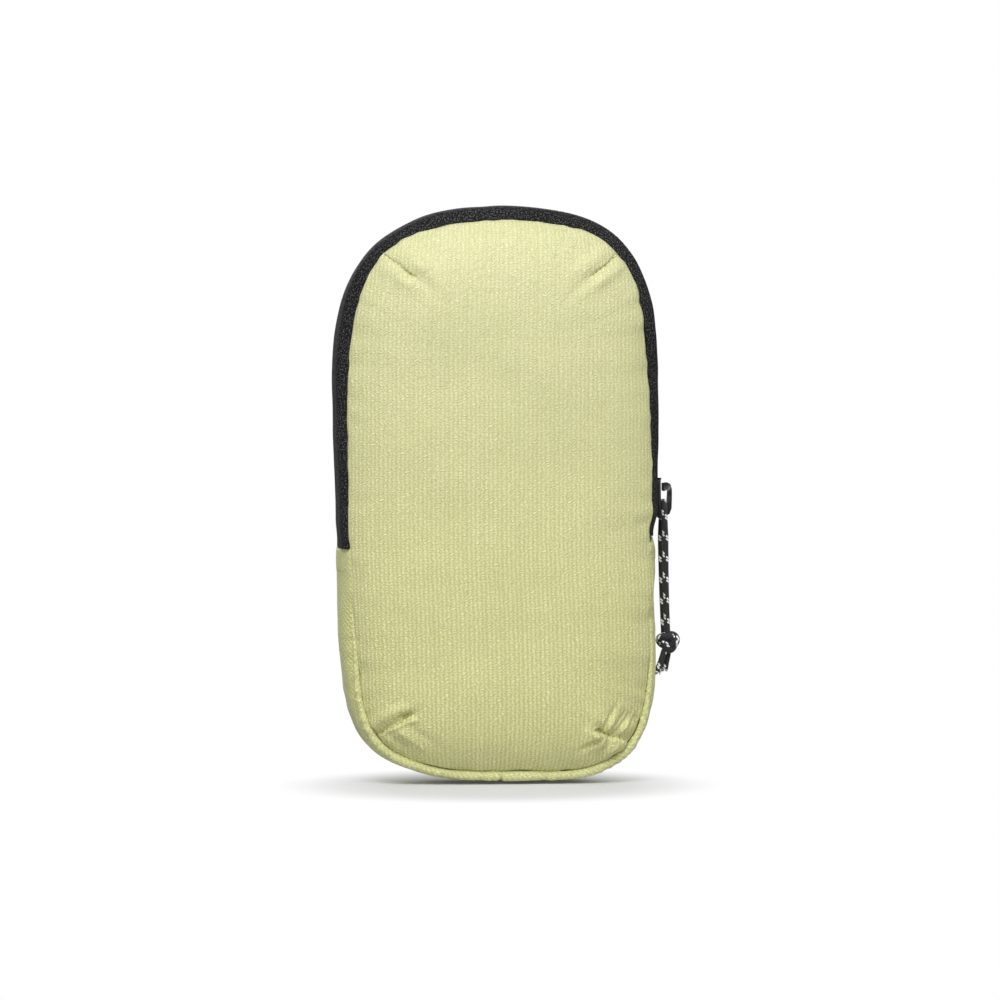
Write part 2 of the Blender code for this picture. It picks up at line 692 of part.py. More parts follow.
turn_x = TOP_HALF_WIDTH - STRAP_EDGE_MARGIN
pad_y = GAP + WEBBING / 2
turn_y = pad_y + TURN_RADIUS
run_y = turn_y + TURN_RADIUS
turn_steps = 8
loop_patch_low = run_y + WEBBING / 2 + GAP
hook_patch_low = loop_patch_low + PATCH_THICKNESS + GAP
flap_run_y = hook_patch_low + PATCH_THICKNESS + GAP + WEBBING / 2
flap_turn_radius = (flap_run_y - turn_y)
hinge_x = turn_x + TURN_RADIUS + WEBBING / 2
hinge_y = turn_y
for word, centre_z in (("upper", UPPER_STRAP_Z), ("lower", LOWER_STRAP_Z)):
    low_z, high_z = centre_z - STRAP_WIDTH / 2, centre_z + STRAP_WIDTH / 2
    base_path = [(-PAD_INNER_X, pad_y)]
    for k in range(turn_steps + 1):
        turn = -math.pi / 2 - math.pi * k / turn_steps
        base_path.append((-turn_x + TURN_RADIUS * math.cos(turn), turn_y + TURN_RADIUS * math.sin(turn)))
    base_path.append((OVERLAP_HALF, run_y))
    path_solid(f"strap_{word}_base", base_path, WEBBING, low_z, high_z, webbing)

    anchor_path = [(PAD_INNER_X, pad_y)]
    for k in range(turn_steps // 2 + 1):
        turn = -math.pi / 2 + math.pi * k / turn_steps
        y = turn_y + TURN_RADIUS * math.sin(turn)
        anchor_path.append((turn_x + TURN_RADIUS * math.cos(turn), min(y, turn_y - GAP / 2)))
    path_solid(f"strap_{word}_anchor", anchor_path, WEBBING, low_z, high_z, webbing)

    hinge = Vector((hinge_x, hinge_y, centre_z))
    flap_path = []
    for k in range(turn_steps // 2 + 1):
        turn = math.pi * k / turn_steps
        x = turn_x + TURN_RADIUS * math.cos(turn)
        y = turn_y + flap_turn_radius * math.sin(turn)
        flap_path.append((x, max(y, turn_y + GAP / 2)))
    flap_path.append((-OVERLAP_HALF, flap_run_y))
    path_solid(f"strap_{word}_flap", flap_path, WEBBING, low_z, high_z, webbing, origin=hinge)

    patch_low_z, patch_high_z = low_z + PATCH_MARGIN, high_z - PATCH_MARGIN
    patch_x = OVERLAP_HALF - PATCH_MARGIN
    loop_low = (-patch_x, loop_patch_low, patch_low_z)
    loop_high = (patch_x, loop_patch_low + PATCH_THICKNESS, patch_high_z)
    box(f"strap_{word}_loop_patch", loop_low, loop_high, fastener)
    hook_low = (-patch_x, hook_patch_low, patch_low_z)
    hook_high = (patch_x, hook_patch_low + PATCH_THICKNESS, patch_high_z)
    box(f"strap_{word}_hook_patch", hook_low, hook_high, fastener, origin=hinge)

    tack_y = GAP + WEBBING + GAP
    for side, end in ((-1, "base"), (1, "anchor")):
        near, far = PAD_INNER_X + BARTACK_FROM_END, PAD_INNER_X + BARTACK_FROM_END + BARTACK_WIDTH
        low = (min(side * near, side * far), tack_y, patch_low_z)
        high = (max(side * near, side * far), tack_y + BARTACK_HEIGHT, patch_high_z)
        box(f"strap_{word}_{end}_tack", low, high, cordage)
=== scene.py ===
import math

import bmesh
import bpy
import numpy as np
from mathutils import Matrix, Vector
from mathutils.bvhtree import BVHTree


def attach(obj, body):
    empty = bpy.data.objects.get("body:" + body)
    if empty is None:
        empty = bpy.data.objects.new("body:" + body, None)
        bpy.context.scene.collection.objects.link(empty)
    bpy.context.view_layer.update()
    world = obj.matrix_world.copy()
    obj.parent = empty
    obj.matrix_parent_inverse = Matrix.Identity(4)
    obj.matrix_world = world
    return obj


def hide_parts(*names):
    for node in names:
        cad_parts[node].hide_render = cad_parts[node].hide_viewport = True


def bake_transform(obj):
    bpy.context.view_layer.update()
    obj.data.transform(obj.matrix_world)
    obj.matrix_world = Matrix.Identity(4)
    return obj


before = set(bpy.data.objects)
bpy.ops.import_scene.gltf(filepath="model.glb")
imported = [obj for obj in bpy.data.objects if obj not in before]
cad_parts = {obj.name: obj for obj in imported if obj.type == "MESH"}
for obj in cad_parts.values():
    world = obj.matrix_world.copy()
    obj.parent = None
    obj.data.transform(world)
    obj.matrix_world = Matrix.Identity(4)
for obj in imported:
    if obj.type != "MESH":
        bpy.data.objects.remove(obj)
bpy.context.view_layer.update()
bpy.ops.object.select_all(action="DESELECT")
print("frame loaded")

# Camera: a little to the left of straight on and a little above, through a long lens
view = {"turn": -5.5, "tilt": 3.8, "distance": 3.0, "frameWidth": 0.3135, "aim": (0.00145, -0.012, -0.0017)}


def placeCamera():
    turn, tilt = math.radians(view["turn"]), math.radians(view["tilt"])
    aim = Vector(view["aim"])
    away = Vector((math.sin(turn) * math.cos(tilt), -math.cos(turn) * math.cos(tilt), math.sin(tilt)))
    lens = bpy.data.cameras.new("camera")
    lens.sensor_width = 36
    lens.lens = 36 * view["distance"] / view["frameWidth"]
    lens.clip_start = 0.01
    camera = bpy.data.objects.new("camera", lens)
    camera.location = aim + view["distance"] * away
    camera.rotation_euler = (-away).to_track_quat("-Z", "Y").to_euler()
    bpy.context.scene.collection.objects.link(camera)
    bpy.context.scene.camera = camera


placeCamera()

# The sewn outline, seen from the front, and the depths of the wall, in metres
pouch = {
    "height": 0.180,
    "topHalfWidth": 0.0505,
    "bottomHalfWidth": 0.0486,
    "topArch": 0.060,
    "bottomArch": 0.042,
    "topPower": 2.7,
    "bottomPower": 3.0,
    "zipEndZ": -0.0170,
    "rightEndZ": -0.0128,
    "leftEndZ": -0.0164,
    "narrowedZ": -0.0360,
    "wallDepth": 0.0196,
    "chainDepth": 0.01195,
    "cloth": 0.0008,
    "lining": 0.0005,
    "gap": 0.0003,
    "tableSteps": 240,
}
# Where the stuffed wall sits inside (+) or outside (-) the sewn outline: its crests and hollows, run and reach in mm
slackKnots = (
    (0, -0.5), (14, -0.15), (39, -1.1), (45, -1.05), (54, -0.85), (61, -0.85), (71, -0.35), (79, -0.25),
    (87, -0.05), (97, -0.3), (103, -0.25), (112, 0.05), (126, 0.05), (133.8, 1.5), (140, 0.75), (147, 0.1), (151, 0.15),
    (168, -0.6), (187, -0.65), (209, -1.55), (215, -1.5), (241, 0.1), (264, 0.2), (274, 0.45), (291, -0.2),
    (312, -0.1), (330, -0.7), (333, -0.7), (356, 1.3), (363, 0.8), (367, 0.75), (392, -0.1), (397, -0.15),
    (409, -0.45), (416, -0.5), (442, -1.6), (447, -1.6), (464, -0.4), (486, -0.25),
)


def ease(value):
    value = np.clip(value, 0.0, 1.0)
    return value * value * (3 - 2 * value)


def halfOutline():
    steps = pouch["tableSteps"]
    topZ = pouch["height"] / 2 - pouch["topArch"]
    lowZ = pouch["bottomArch"] - pouch["height"] / 2
    spots = []
    for k in range(steps):
        turn = math.pi / 2 * (1 - k / steps)
        x = pouch["topHalfWidth"] * math.cos(turn) ** (2 / pouch["topPower"])
        z = topZ + pouch["topArch"] * math.sin(turn) ** (2 / pouch["topPower"])
        spots.append((x if k else 0.0, z))
    for k in range(steps):
        z = topZ + (lowZ - topZ) * k / steps
        share = (pouch["zipEndZ"] - z) / (pouch["zipEndZ"] - pouch["narrowedZ"])
        width = pouch["topHalfWidth"] + (pouch["bottomHalfWidth"] - pouch["topHalfWidth"]) * float(ease(share))
        spots.append((width, z))
    for k in range(steps + 1):
        turn = math.pi / 2 * k / steps
        x = pouch["bottomHalfWidth"] * max(math.cos(turn), 0.0) ** (2 / pouch["bottomPower"])
        z = lowZ - pouch["bottomArch"] * math.sin(turn) ** (2 / pouch["bottomPower"])
        spots.append((x if k < steps else 0.0, z))
    return np.array(spots)


half = halfOutline()
halfRun = np.concatenate([[0.0], np.cumsum(np.hypot(*np.diff(half, axis=0).T))])
halfLength = float(halfRun[-1])
perimeter = 2 * halfLength
slopes = np.gradient(half, halfRun, axis=0)
outward = np.column_stack([-slopes[:, 1], slopes[:, 0]])
outward[0] = (0, 1)
outward[-1] = (0, -1)
outward /= np.linalg.norm(outward, axis=1)[:, None]


def easedLine(run, knots):
    # eases from each (run, value) knot to the next, all the way round
    places, values = np.array(knots).T / 1000
    places = np.append(places, places[0] + perimeter)
    values = np.append(values, values[0])
    run = (np.asarray(run, float) - places[0]) % perimeter + places[0]
    k = np.clip(np.searchsorted(places, run, side="right") - 1, 0, len(knots) - 1)
    share = ease((run - places[k]) / (places[k + 1] - places[k]))
    return values[k] + (values[k + 1] - values[k]) * share


def slack(run):
    return easedLine(run, slackKnots)


def lean(spots):
    # the filled pouch is not quite even: top and foot sit to the right, the foot's front more so
    spots = np.array(spots, float)
    z, depth = spots[..., 2], -spots[..., 1]
    back = 0.0022 * ease((z - 0.045) / 0.040) + 0.0010 * ease((-0.020 - z) / 0.055)
    fore = 0.00035 + 0.00055 * ease((-0.010 - z) / 0.030) - 0.0008 * ease((z - 0.050) / 0.025)
    spots[..., 0] += back + fore * ease((depth - 0.002) / 0.016)
    return spots


def plainRim(run, inset, depth):
    # a point on the wall: run goes round the outline, inset inward, depth to the front
    run = np.asarray(run, float) % perimeter
    side = np.where(run <= halfLength, 1.0, -1.0)
    near = np.where(run <= halfLength, run, perimeter - run)
    x, z = (np.interp(near, halfRun, half[:, k]) for k in (0, 1))
    nx, nz = (np.interp(near, halfRun, outward[:, k]) for k in (0, 1))
    inset = inset + slack(run)
    flat = np.zeros(np.broadcast_shapes(np.shape(x), np.shape(inset), np.shape(depth)))
    return np.stack([side * (x - inset * nx) + flat, flat - depth, z - inset * nz + flat], axis=-1)


def rim(run, inset, depth):
    return lean(plainRim(run, inset, depth))


def runAt(z, side):
    run = float(np.interp(-z, -half[:, 1], halfRun))
    return run if side > 0 else perimeter - run


def ripple(run, seed, period, count=512):
    # uneven waves along a line, from -1 to 1, that come round again after count of them
    spots = np.random.default_rng(seed).uniform(-1, 1, count)
    place = np.asarray(run, float) / period
    low = np.floor(place).astype(int)
    share = ease(place - low)
    return spots[low % count] * (1 - share) + spots[(low + 1) % count] * share


def roundRipple(run, seed, count):
    return ripple(run, seed, perimeter / count, count)


def billow(x, z, seed, length, count=14):
    # soft hills over a sheet, from about -1 to 1
    rng = np.random.default_rng(seed)
    total = np.zeros(np.shape(x))
    for _ in range(count):
        turn, phase = rng.uniform(0, math.tau, 2)
        wave = math.tau / (length * rng.uniform(0.7, 1.6))
        total += np.sin(wave * (x * math.cos(turn) + z * math.sin(turn)) + phase)
    return total / math.sqrt(count)


# Shader parts
class Value:
    # a shader socket that can be added, multiplied and so on like a number
    def __init__(self, tree, socket):
        self.tree, self.socket = tree, socket

    def join(self, operation, *others, clamp=False):
        return addNode(self.tree, "Math", dict(enumerate((self, *others))), operation=operation, use_clamp=clamp)[0]

    def __add__(self, other):
        return self.join("ADD", other)

    def __sub__(self, other):
        return self.join("SUBTRACT", other)

    def __rsub__(self, other):
        return addNode(self.tree, "Math", {0: other, 1: self}, operation="SUBTRACT")[0]

    def __mul__(self, other):
        return self.join("MULTIPLY", other)

    def __truediv__(self, other):
        return self.join("DIVIDE", other)

    def __abs__(self):
        return self.join("ABSOLUTE")


def plug(value, socket):
    # links a shader value, or sets a number, vector or colour
    if isinstance(value, Value):
        value.tree.links.new(value.socket, socket)
    elif socket.type == "RGBA":
        socket.default_value = (*value, 1.0)
    else:
        socket.default_value = value


def addNode(tree, kind, inputs=None, **settings):
    # a node with its settings and inputs; gives its outputs by number and by name
    node = tree.nodes.new(f"ShaderNode{kind}")
    for label, value in settings.items():
        setattr(node, label, value)
    for key, value in (inputs or {}).items():
        plug(value, node.inputs[key])
    return {key: Value(tree, socket) for k, socket in enumerate(node.outputs) for key in (k, socket.name)}


def blendColours(factor, first, second, kind="MIX"):
    inputs = {0: factor, 6: first, 7: second}
    return addNode(factor.tree, "Mix", inputs, data_type="RGBA", blend_type=kind, clamp_factor=True)[2]


def fade(value, low, high):
    # 0 below low, 1 above high, smooth between
    return addNode(value.tree, "MapRange", {0: value, 1: low, 2: high}, interpolation_type="SMOOTHSTEP")[0]


def grain(vector, scale, detail=2.0, rough=0.5):
    inputs = {"Vector": vector, "Scale": scale, "Detail": detail, "Roughness": rough}
    return addNode(vector.tree, "TexNoise", inputs)[0]


def split(vector):
    parts = addNode(vector.tree, "SeparateXYZ", {0: vector})
    return parts[0], parts[1], parts[2]


def makeGroup(name, build, **numbers):
    # build gets a value for the vector and for each number, and gives the group's outputs
    tree = bpy.data.node_groups.new(name, "ShaderNodeTree")
    tree.interface.new_socket("Vector", in_out="INPUT", socket_type="NodeSocketVector")
    for label, number in numbers.items():
        tree.interface.new_socket(label, in_out="INPUT", socket_type="NodeSocketFloat").default_value = number
    given = tree.nodes.new("NodeGroupInput").outputs
    results = build(*(Value(tree, given[label]) for label in ("Vector", *numbers)))
    for label in results:
        tree.interface.new_socket(label, in_out="OUTPUT", socket_type="NodeSocketFloat")
    last = tree.nodes.new("NodeGroupOutput")
    for label, value in results.items():
        plug(value, last.inputs[label])
    return tree


def dobbyDashes(vector, column, row):
    # columns of short dashes, strong and weak by turns, and a dark rib after every fourth column
    drift = (grain(vector, 420) - 0.5) * 0.00110
    x, y, _ = split(vector)
    u = (x + drift) / column
    halfRows = (y - drift) / row * 2.0
    across, down = u.join("FLOOR"), halfRows.join("FLOOR")
    cell = addNode(vector.tree, "CombineXYZ", {0: across, 1: down})[0]
    chance = addNode(vector.tree, "TexWhiteNoise", {"Vector": cell}, noise_dimensions="2D")["Value"]
    a = u.join("FRACT") - 0.5
    b = halfRows.join("FRACT") - 0.5
    thin = fade(abs(a - b * ((chance - 0.34) * 2.0)), 0.33, 0.07)
    short = fade(abs(b), 0.52, 0.28)
    strong = abs(across + down).join("MODULO", 2.0) * 0.40 + 0.35 + chance * 0.30
    fleck = thin * short * strong
    uneven = fade(grain(vector, 900, 1.0), 0.25, 0.60)
    gap = fade(abs(a), 0.26, 0.48) * uneven
    line = fade(abs((u / 4.0 + 0.57).join("FRACT") - 0.5), 0.065, 0.02)
    return {"Fleck": fleck, "Gap": gap, "Line": line * uneven, "Height": fleck - (gap + line) * 0.2}


def threadWeave(vector, warp, weft, slant, fine):
    # plain or twilled threads: over and under, at a slant where slant isn't 0
    x, y, _ = split(vector)
    u = x / warp
    one = (u * math.tau).join("SINE")
    two = ((y / weft + u * slant) * math.tau).join("SINE")
    thread = one * two * 0.35 + two * 0.25
    return {"Thread": thread.join("ADD", 0.5, clamp=True), "Grain": grain(vector, fine)}


def braidedStrands(vector, around, step, strand):
    # slanting strands both ways round, and pairs of pale flecks at even steps
    u, v, _ = split(vector)
    way, rise = u / strand, v / strand
    left = ((way + rise) * math.tau).join("SINE")
    right = ((way - rise) * math.tau).join("SINE")
    quarter = around / 4.0
    column = u / quarter + 0.1
    a = (column.join("FRACT") - 0.5) * quarter
    lift = column.join("FLOOR") * 0.24 + 0.346
    b = ((v / step + lift).join("FRACT") - 0.5) * step
    pair = []
    for shift in (-0.00045, 0.00045):
        fromFleck = b - shift
        across = fade(abs(a * 0.64 + fromFleck * 0.77), 0.00031, 0.00022)
        pair.append(across * fade(abs(fromFleck * 0.64 - a * 0.77), 0.00066, 0.00054))
    return {"Strands": left.join("MAXIMUM", right) * 0.5 + 0.5, "Flecks": pair[0].join("MAXIMUM", pair[1])}


def wearAndDust(vector, cloud):
    # slow cloudy change of shade, and fine dust
    return {"Cloud": grain(vector, cloud, 3.0), "Dust": fade(grain(vector, 2600, 1.0), 0.66, 0.78)}


groups = {
    "flecks": makeGroup("dobbyDashes", dobbyDashes, Column=0.001378, Row=0.00170),
    "weave": makeGroup("threadWeave", threadWeave, Warp=0.0005, Weft=0.0005, Slant=0.0, Fine=1500.0),
    "braid": makeGroup("braidedCord", braidedStrands, Around=0.006, Step=0.0066, Strand=0.0011),
    "wear": makeGroup("wearAndDust", wearAndDust, Cloud=38.0),
}


def useGroup(key, vector, **numbers):
    return addNode(vector.tree, "Group", {"Vector": vector, **numbers}, node_tree=groups[key])


def sewnMap(tree):
    return addNode(tree, "UVMap", uv_map="sewn")[0]


def placeMap(tree):
    return addNode(tree, "TexCoord")["Object"]


def startMaterial(name, roughness, metallic=0.0, sheen=0.0, specular=0.5):
    made = bpy.data.materials.new(name)
    made.use_nodes = True
    inputs = made.node_tree.nodes["Principled BSDF"].inputs
    inputs["Roughness"].default_value = roughness
    inputs["Metallic"].default_value = metallic
    inputs["Sheen Weight"].default_value = sheen
    inputs["Sheen Roughness"].default_value = 0.4
    inputs["Specular IOR Level"].default_value = specular
    return made, made.node_tree


def finishMaterial(made, colour, height, relief, roughness=None):
    inputs = made.node_tree.nodes["Principled BSDF"].inputs
    plug(colour, inputs["Base Color"])
    if roughness:
        plug(roughness, inputs["Roughness"])
    plug(addNode(colour.tree, "Bump", {"Height": height, "Distance": relief, "Strength": 1.0})[0], inputs["Normal"])
    return made


limeLook = {
    "base": (0.694, 0.682, 0.366),
    "fleck": (0.930, 0.925, 0.640),
    "gap": (0.430, 0.440, 0.165),
    # a greener colour multiplied in toward the bottom of the cloth, as painted shade
    "foot": (0.955, 0.955, 0.800),
    "rib": (0.530, 0.545, 0.255),
    "roughness": 0.52,
    "relief": 0.00014,
}
dustColour = (0.5, 0.5, 0.48)


def limeCloth(name, tintAndPaintedShade=(1, 1, 1), relief=1.0, ribbed=1.0, turned=0.0, paintedFrontLight=(1, 1, 1)):
    # the tint is the edging's own tone, but on the wall it is painted shade; the turned-front colour brightens the
    # wall's hem where it faces the front, as painted light
    made, tree = startMaterial(name, limeLook["roughness"], sheen=0.25, specular=0.45)
    sewn, place = sewnMap(tree), placeMap(tree)
    laid = addNode(tree, "VectorRotate", {"Vector": sewn, "Angle": turned}, rotation_type="Z_AXIS")[0]
    flecks, wear = useGroup("flecks", laid), useGroup("wear", place)
    shade = {key: tuple(c * t for c, t in zip(limeLook[key], tintAndPaintedShade)) for key in ("base", "fleck", "gap", "rib")}
    fine = grain(sewn, 2300)
    _, depth, height = split(place)
    # painted shade: the cloth grows greener toward the bottom, and its flecks and gaps show stronger there, as the
    # light from above makes them
    foot = fade(height, 0.080, -0.090)
    colour = blendColours(fade(fine, 0.60, 0.36) * 0.70, shade["base"], shade["gap"])
    # painted shade: gaps and flecks get more contrast toward the bottom
    colour = blendColours(flecks["Gap"] * (foot * 0.28 + 0.16) * ribbed, colour, shade["gap"])
    colour = blendColours(flecks["Fleck"] * (foot * 0.34 + 0.68), colour, shade["fleck"])
    colour = blendColours(flecks["Line"] * (0.34 * ribbed), colour, shade["rib"])
    colour = blendColours(fade(wear["Cloud"], 0.35, 0.7) * 0.16, colour, shade["rib"])
    # painted light on a hem that is turned to the front, and painted shade toward the foot, where the cloth turns a
    # little greener
    colour = blendColours(fade(depth, -0.0100, -0.0165), colour, paintedFrontLight, "MULTIPLY")
    colour = blendColours(foot, colour, limeLook["foot"], "MULTIPLY")
    rough = limeLook["roughness"] - flecks["Fleck"] * 0.16
    return finishMaterial(made, colour, flecks["Height"] + fine * 0.5, limeLook["relief"] * relief, rough)


def wovenCloth(
    name, dark, pale, roughness, warp, weft, slant=0.0, relief=0.00006, sheen=0.1, mottle=0.5, fine=1500, gloss=0.25
):
    # tape, webbing, lining and binding: one thread pattern, each with its own count
    made, tree = startMaterial(name, roughness, sheen=sheen, specular=gloss)
    weave = useGroup("weave", sewnMap(tree), Warp=warp, Weft=weft, Slant=slant, Fine=fine)
    wear = useGroup("wear", placeMap(tree))
    speck = fade(weave["Grain"], 0.51, 0.63) * mottle
    colour = blendColours(weave["Thread"] * (1 - mottle) + speck, dark, pale)
    colour = blendColours(fade(wear["Cloud"], 0.4, 0.7) * 0.25, colour, dark)
    colour = blendColours(wear["Dust"] * 0.12, colour, dustColour)
    rough = weave["Grain"] * 0.12 + (roughness - 0.06)
    return finishMaterial(made, colour, weave["Thread"] + weave["Grain"] * 0.4, relief, rough)


def hardFinish(name, dark, worn, roughness, metallic):
    # painted casting or moulded nylon, rubbed paler on its raised edges
    made, tree = startMaterial(name, roughness, metallic=metallic)
    place = placeMap(tree)
    wear = useGroup("wear", place, Cloud=260.0)
    edge = fade(addNode(tree, "NewGeometry")["Pointiness"], 0.53, 0.62)
    colour = blendColours(edge * fade(wear["Cloud"], 0.4, 0.65), dark, worn)
    colour = blendColours(wear["Dust"] * 0.1, colour, dustColour)
    return finishMaterial(made, colour, grain(place, 3200, 3.0), 0.000012, (wear["Cloud"] - 0.5) * 0.25 + roughness)


def braidedCord(name, diameter):
    made, tree = startMaterial(name, 0.7, sheen=0.15, specular=0.35)
    sewn = sewnMap(tree)
    braid = useGroup("braid", sewn, Around=math.pi * diameter)
    fibre = grain(sewn, 4200)
    colour = blendColours(braid["Strands"], (0.007, 0.007, 0.008), (0.022, 0.022, 0.024))
    colour = blendColours(fade(fibre, 0.5, 0.72) * 0.3, colour, (0.07, 0.07, 0.073))
    colour = blendColours(braid["Flecks"], colour, (0.93, 0.93, 0.94))
    return finishMaterial(made, colour, braid["Strands"] + fibre * 0.35, 0.00014)


def foamLook(name):
    made, tree = startMaterial(name, 0.95)
    cells = addNode(tree, "TexVoronoi", {"Vector": placeMap(tree), "Scale": 1900})[0]
    return finishMaterial(made, blendColours(cells, (0.07, 0.07, 0.072), (0.19, 0.19, 0.195)), cells, 0.0002)


def pileLook(name, coarse):
    made, tree = startMaterial(name, 0.92, sheen=0.3)
    fuzz = grain(placeMap(tree), coarse, 4.0, 0.7)
    colour = blendColours(fade(fuzz, 0.35, 0.7), (0.006, 0.006, 0.007), (0.055, 0.055, 0.06))
    return finishMaterial(made, colour, fuzz, 0.0004)


cordThickness = 0.0019
looks = {
    "lime": limeCloth("limeDobbyCloth"),
    # the wall is a shaded copy of the lime cloth: darker and greener as painted shade, and lit again as painted light
    # where its hem turns to the front
    "limeWall": limeCloth(
        "limeWallClothPaintedShade", tintAndPaintedShade=(0.84, 0.89, 0.52), ribbed=0.3, turned=-0.65, paintedFrontLight=(1.26, 1.20, 1.75)
    ),
    "edging": limeCloth("edgingCloth", tintAndPaintedShade=(0.94, 0.96, 0.96), relief=0.5, ribbed=0.0, turned=0.65),
    "tape": wovenCloth(
        "zipTapeTwill", (0.004, 0.0038, 0.004), (0.114, 0.110, 0.113), 0.9, 0.00085, 0.00080,
        slant=1.0, relief=0.00010, sheen=0.01, mottle=0.88, fine=1950, gloss=0.08,
    ),
    "webbing": wovenCloth(
        "blackWebbing", (0.008, 0.008, 0.009), (0.050, 0.050, 0.053), 0.8, 0.0011, 0.0016, slant=0.5, relief=0.00016
    ),
    "lining": wovenCloth(
        "greyLining", (0.105, 0.11, 0.112), (0.20, 0.205, 0.21), 0.55, 0.0004, 0.0004, relief=0.00003, mottle=0.35
    ),
    "binding": wovenCloth(
        "greyBinding", (0.07, 0.072, 0.075), (0.17, 0.172, 0.175), 0.75, 0.0011, 0.0007, relief=0.0001
    ),
    "thread": wovenCloth(
        "blackThread", (0.010, 0.010, 0.011), (0.06, 0.06, 0.063), 0.6, 0.0003, 0.0003, slant=1.0, relief=0.00003
    ),
    "limeThread": wovenCloth(
        "limeThread", (0.17, 0.18, 0.015), (0.40, 0.42, 0.08), 0.55, 0.0003, 0.0003, slant=1.0, relief=0.00003
    ),
    "nylon": hardFinish("nylonCoil", (0.012, 0.012, 0.013), (0.06, 0.06, 0.062), 0.38, 0.0),
    "cast": hardFinish("blackCasting", (0.014, 0.014, 0.015), (0.20, 0.20, 0.21), 0.34, 0.55),
    "cord": braidedCord("fleckedCord", cordThickness),
    "foam": foamLook("greyFoam"),
    "loopPile": pileLook("loopPile", 2200),
    "hookBase": pileLook("hookTape", 900),
}
print("materials made")


# Mesh helpers
def startMesh(name, spots, faces, uvs):
    mesh = bpy.data.meshes.new(name)
    mesh.from_pydata(np.reshape(spots, (-1, 3)).tolist(), [], faces)
    layer = mesh.uv_layers.new(name="sewn")
    layer.data.foreach_set("uv", np.asarray(uvs, np.float32).reshape(-1))
    bm = bmesh.new()
    bm.from_mesh(mesh)
    return mesh, bm


def finishMesh(name, mesh, bm, look):
    bm.to_mesh(mesh)
    bm.free()
    mesh.shade_smooth()
    mesh.materials.append(look)
    piece = bpy.data.objects.new(name, mesh)
    bpy.context.scene.collection.objects.link(piece)
    return piece


def gridMesh(name, spots, uvs, look, loopAlong=False, loopAcross=False, facing=None, smoothAngle=50):
    a, b = spots.shape[:2]
    i, j = np.meshgrid(np.arange(a - (not loopAlong)), np.arange(b - (not loopAcross)), indexing="ij")
    i, j = i.ravel(), j.ravel()
    corners = ((i, j), (i + 1, j), (i + 1, j + 1), (i, j + 1))
    faces = np.stack([(p % a) * b + q % b for p, q in corners], axis=1)
    mesh, bm = startMesh(name, spots, faces.tolist(), np.stack([uvs[p, q] for p, q in corners], axis=1))
    bmesh.ops.remove_doubles(bm, verts=bm.verts, dist=0.000004)
    if loopAcross and not loopAlong:
        bmesh.ops.holes_fill(bm, edges=[e for e in bm.edges if e.is_boundary], sides=0)
    bmesh.ops.recalc_face_normals(bm, faces=bm.faces)
    if facing is not None:
        bm.normal_update()
        total = sum((f.normal * f.calc_area() for f in bm.faces), Vector())
        if total.dot(Vector(facing)) < 0:
            bmesh.ops.reverse_faces(bm, faces=bm.faces)
    piece = finishMesh(name, mesh, bm, look)
    mesh.set_sharp_from_angle(angle=math.radians(smoothAngle))
    return piece


def ringBodies(name, look, bodies, uvOf, smooth=True):
    # many small closed bodies, each a list of rings of points; uvOf takes body, corner and ring
    bodies = np.asarray(bodies)
    levels, sides = bodies.shape[1:3]
    faces, uvs = [], []
    for body in range(len(bodies)):
        start = body * levels * sides
        for ring in range(levels - 1):
            one, two = start + ring * sides, start + (ring + 1) * sides
            for k in range(sides):
                n = (k + 1) % sides
                faces.append((one + k, one + n, two + n, two + k))
                corners = ((k, ring), (k + 1, ring), (k + 1, ring + 1), (k, ring + 1))
                uvs += [uvOf(body, corner, level) for corner, level in corners]
        last = start + (levels - 1) * sides
        faces += [tuple(range(start + sides - 1, start - 1, -1)), tuple(range(last, last + sides))]
        uvs += [uvOf(body, 0, 0)] * (2 * sides)
    mesh, bm = startMesh(name, bodies, faces, uvs)
    bmesh.ops.recalc_face_normals(bm, faces=bm.faces)
    piece = finishMesh(name, mesh, bm, look)
    if not smooth:
        mesh.shade_flat()
    return piece


def pick(*pieces):
    bpy.ops.object.select_all(action="DESELECT")
    for piece in pieces:
        piece.select_set(True)
    bpy.context.view_layer.objects.active = pieces[0]


def applyAll(piece):
    pick(piece)
    for layer in list(piece.modifiers):
        bpy.ops.object.modifier_apply(modifier=layer.name)
    return piece


def giveThickness(piece, thickness):
    layer = piece.modifiers.new("thickness", "SOLIDIFY")
    layer.thickness = thickness
    layer.offset = -1
    return applyAll(piece)


def rounded(path, times=2):
    # cuts the corners of an open line, keeping its ends
    path = np.asarray(path, float)
    for _ in range(times):
        near, far = path[:-1], path[1:]
        middle = np.stack([near * 0.75 + far * 0.25, near * 0.25 + far * 0.75], axis=1).reshape(-1, 2)
        path = np.concatenate([path[:1], middle[1:-1], path[-1:]])
    return path


def waysAlong(path):
    ways = np.gradient(path, axis=0)
    return ways / np.linalg.norm(ways, axis=1)[:, None]


def clothSection(path, thickness):
    # a closed section round a thin sheet whose outer face follows path
    path = np.asarray(path, float)
    ways = waysAlong(path)
    inner = path + thickness * np.column_stack([ways[:, 1], -ways[:, 0]])
    turns = np.array([[math.pi / 3], [math.tau / 3]])

    def roundEnd(first, last, out):
        return (first + last) / 2 + (first - last) / 2 * np.cos(turns) + out * thickness / 2 * np.sin(turns)

    ends = roundEnd(path[-1], inner[-1], ways[-1]), roundEnd(inner[0], path[0], -ways[0])
    return np.concatenate([path, ends[0], inner[::-1], ends[1]])


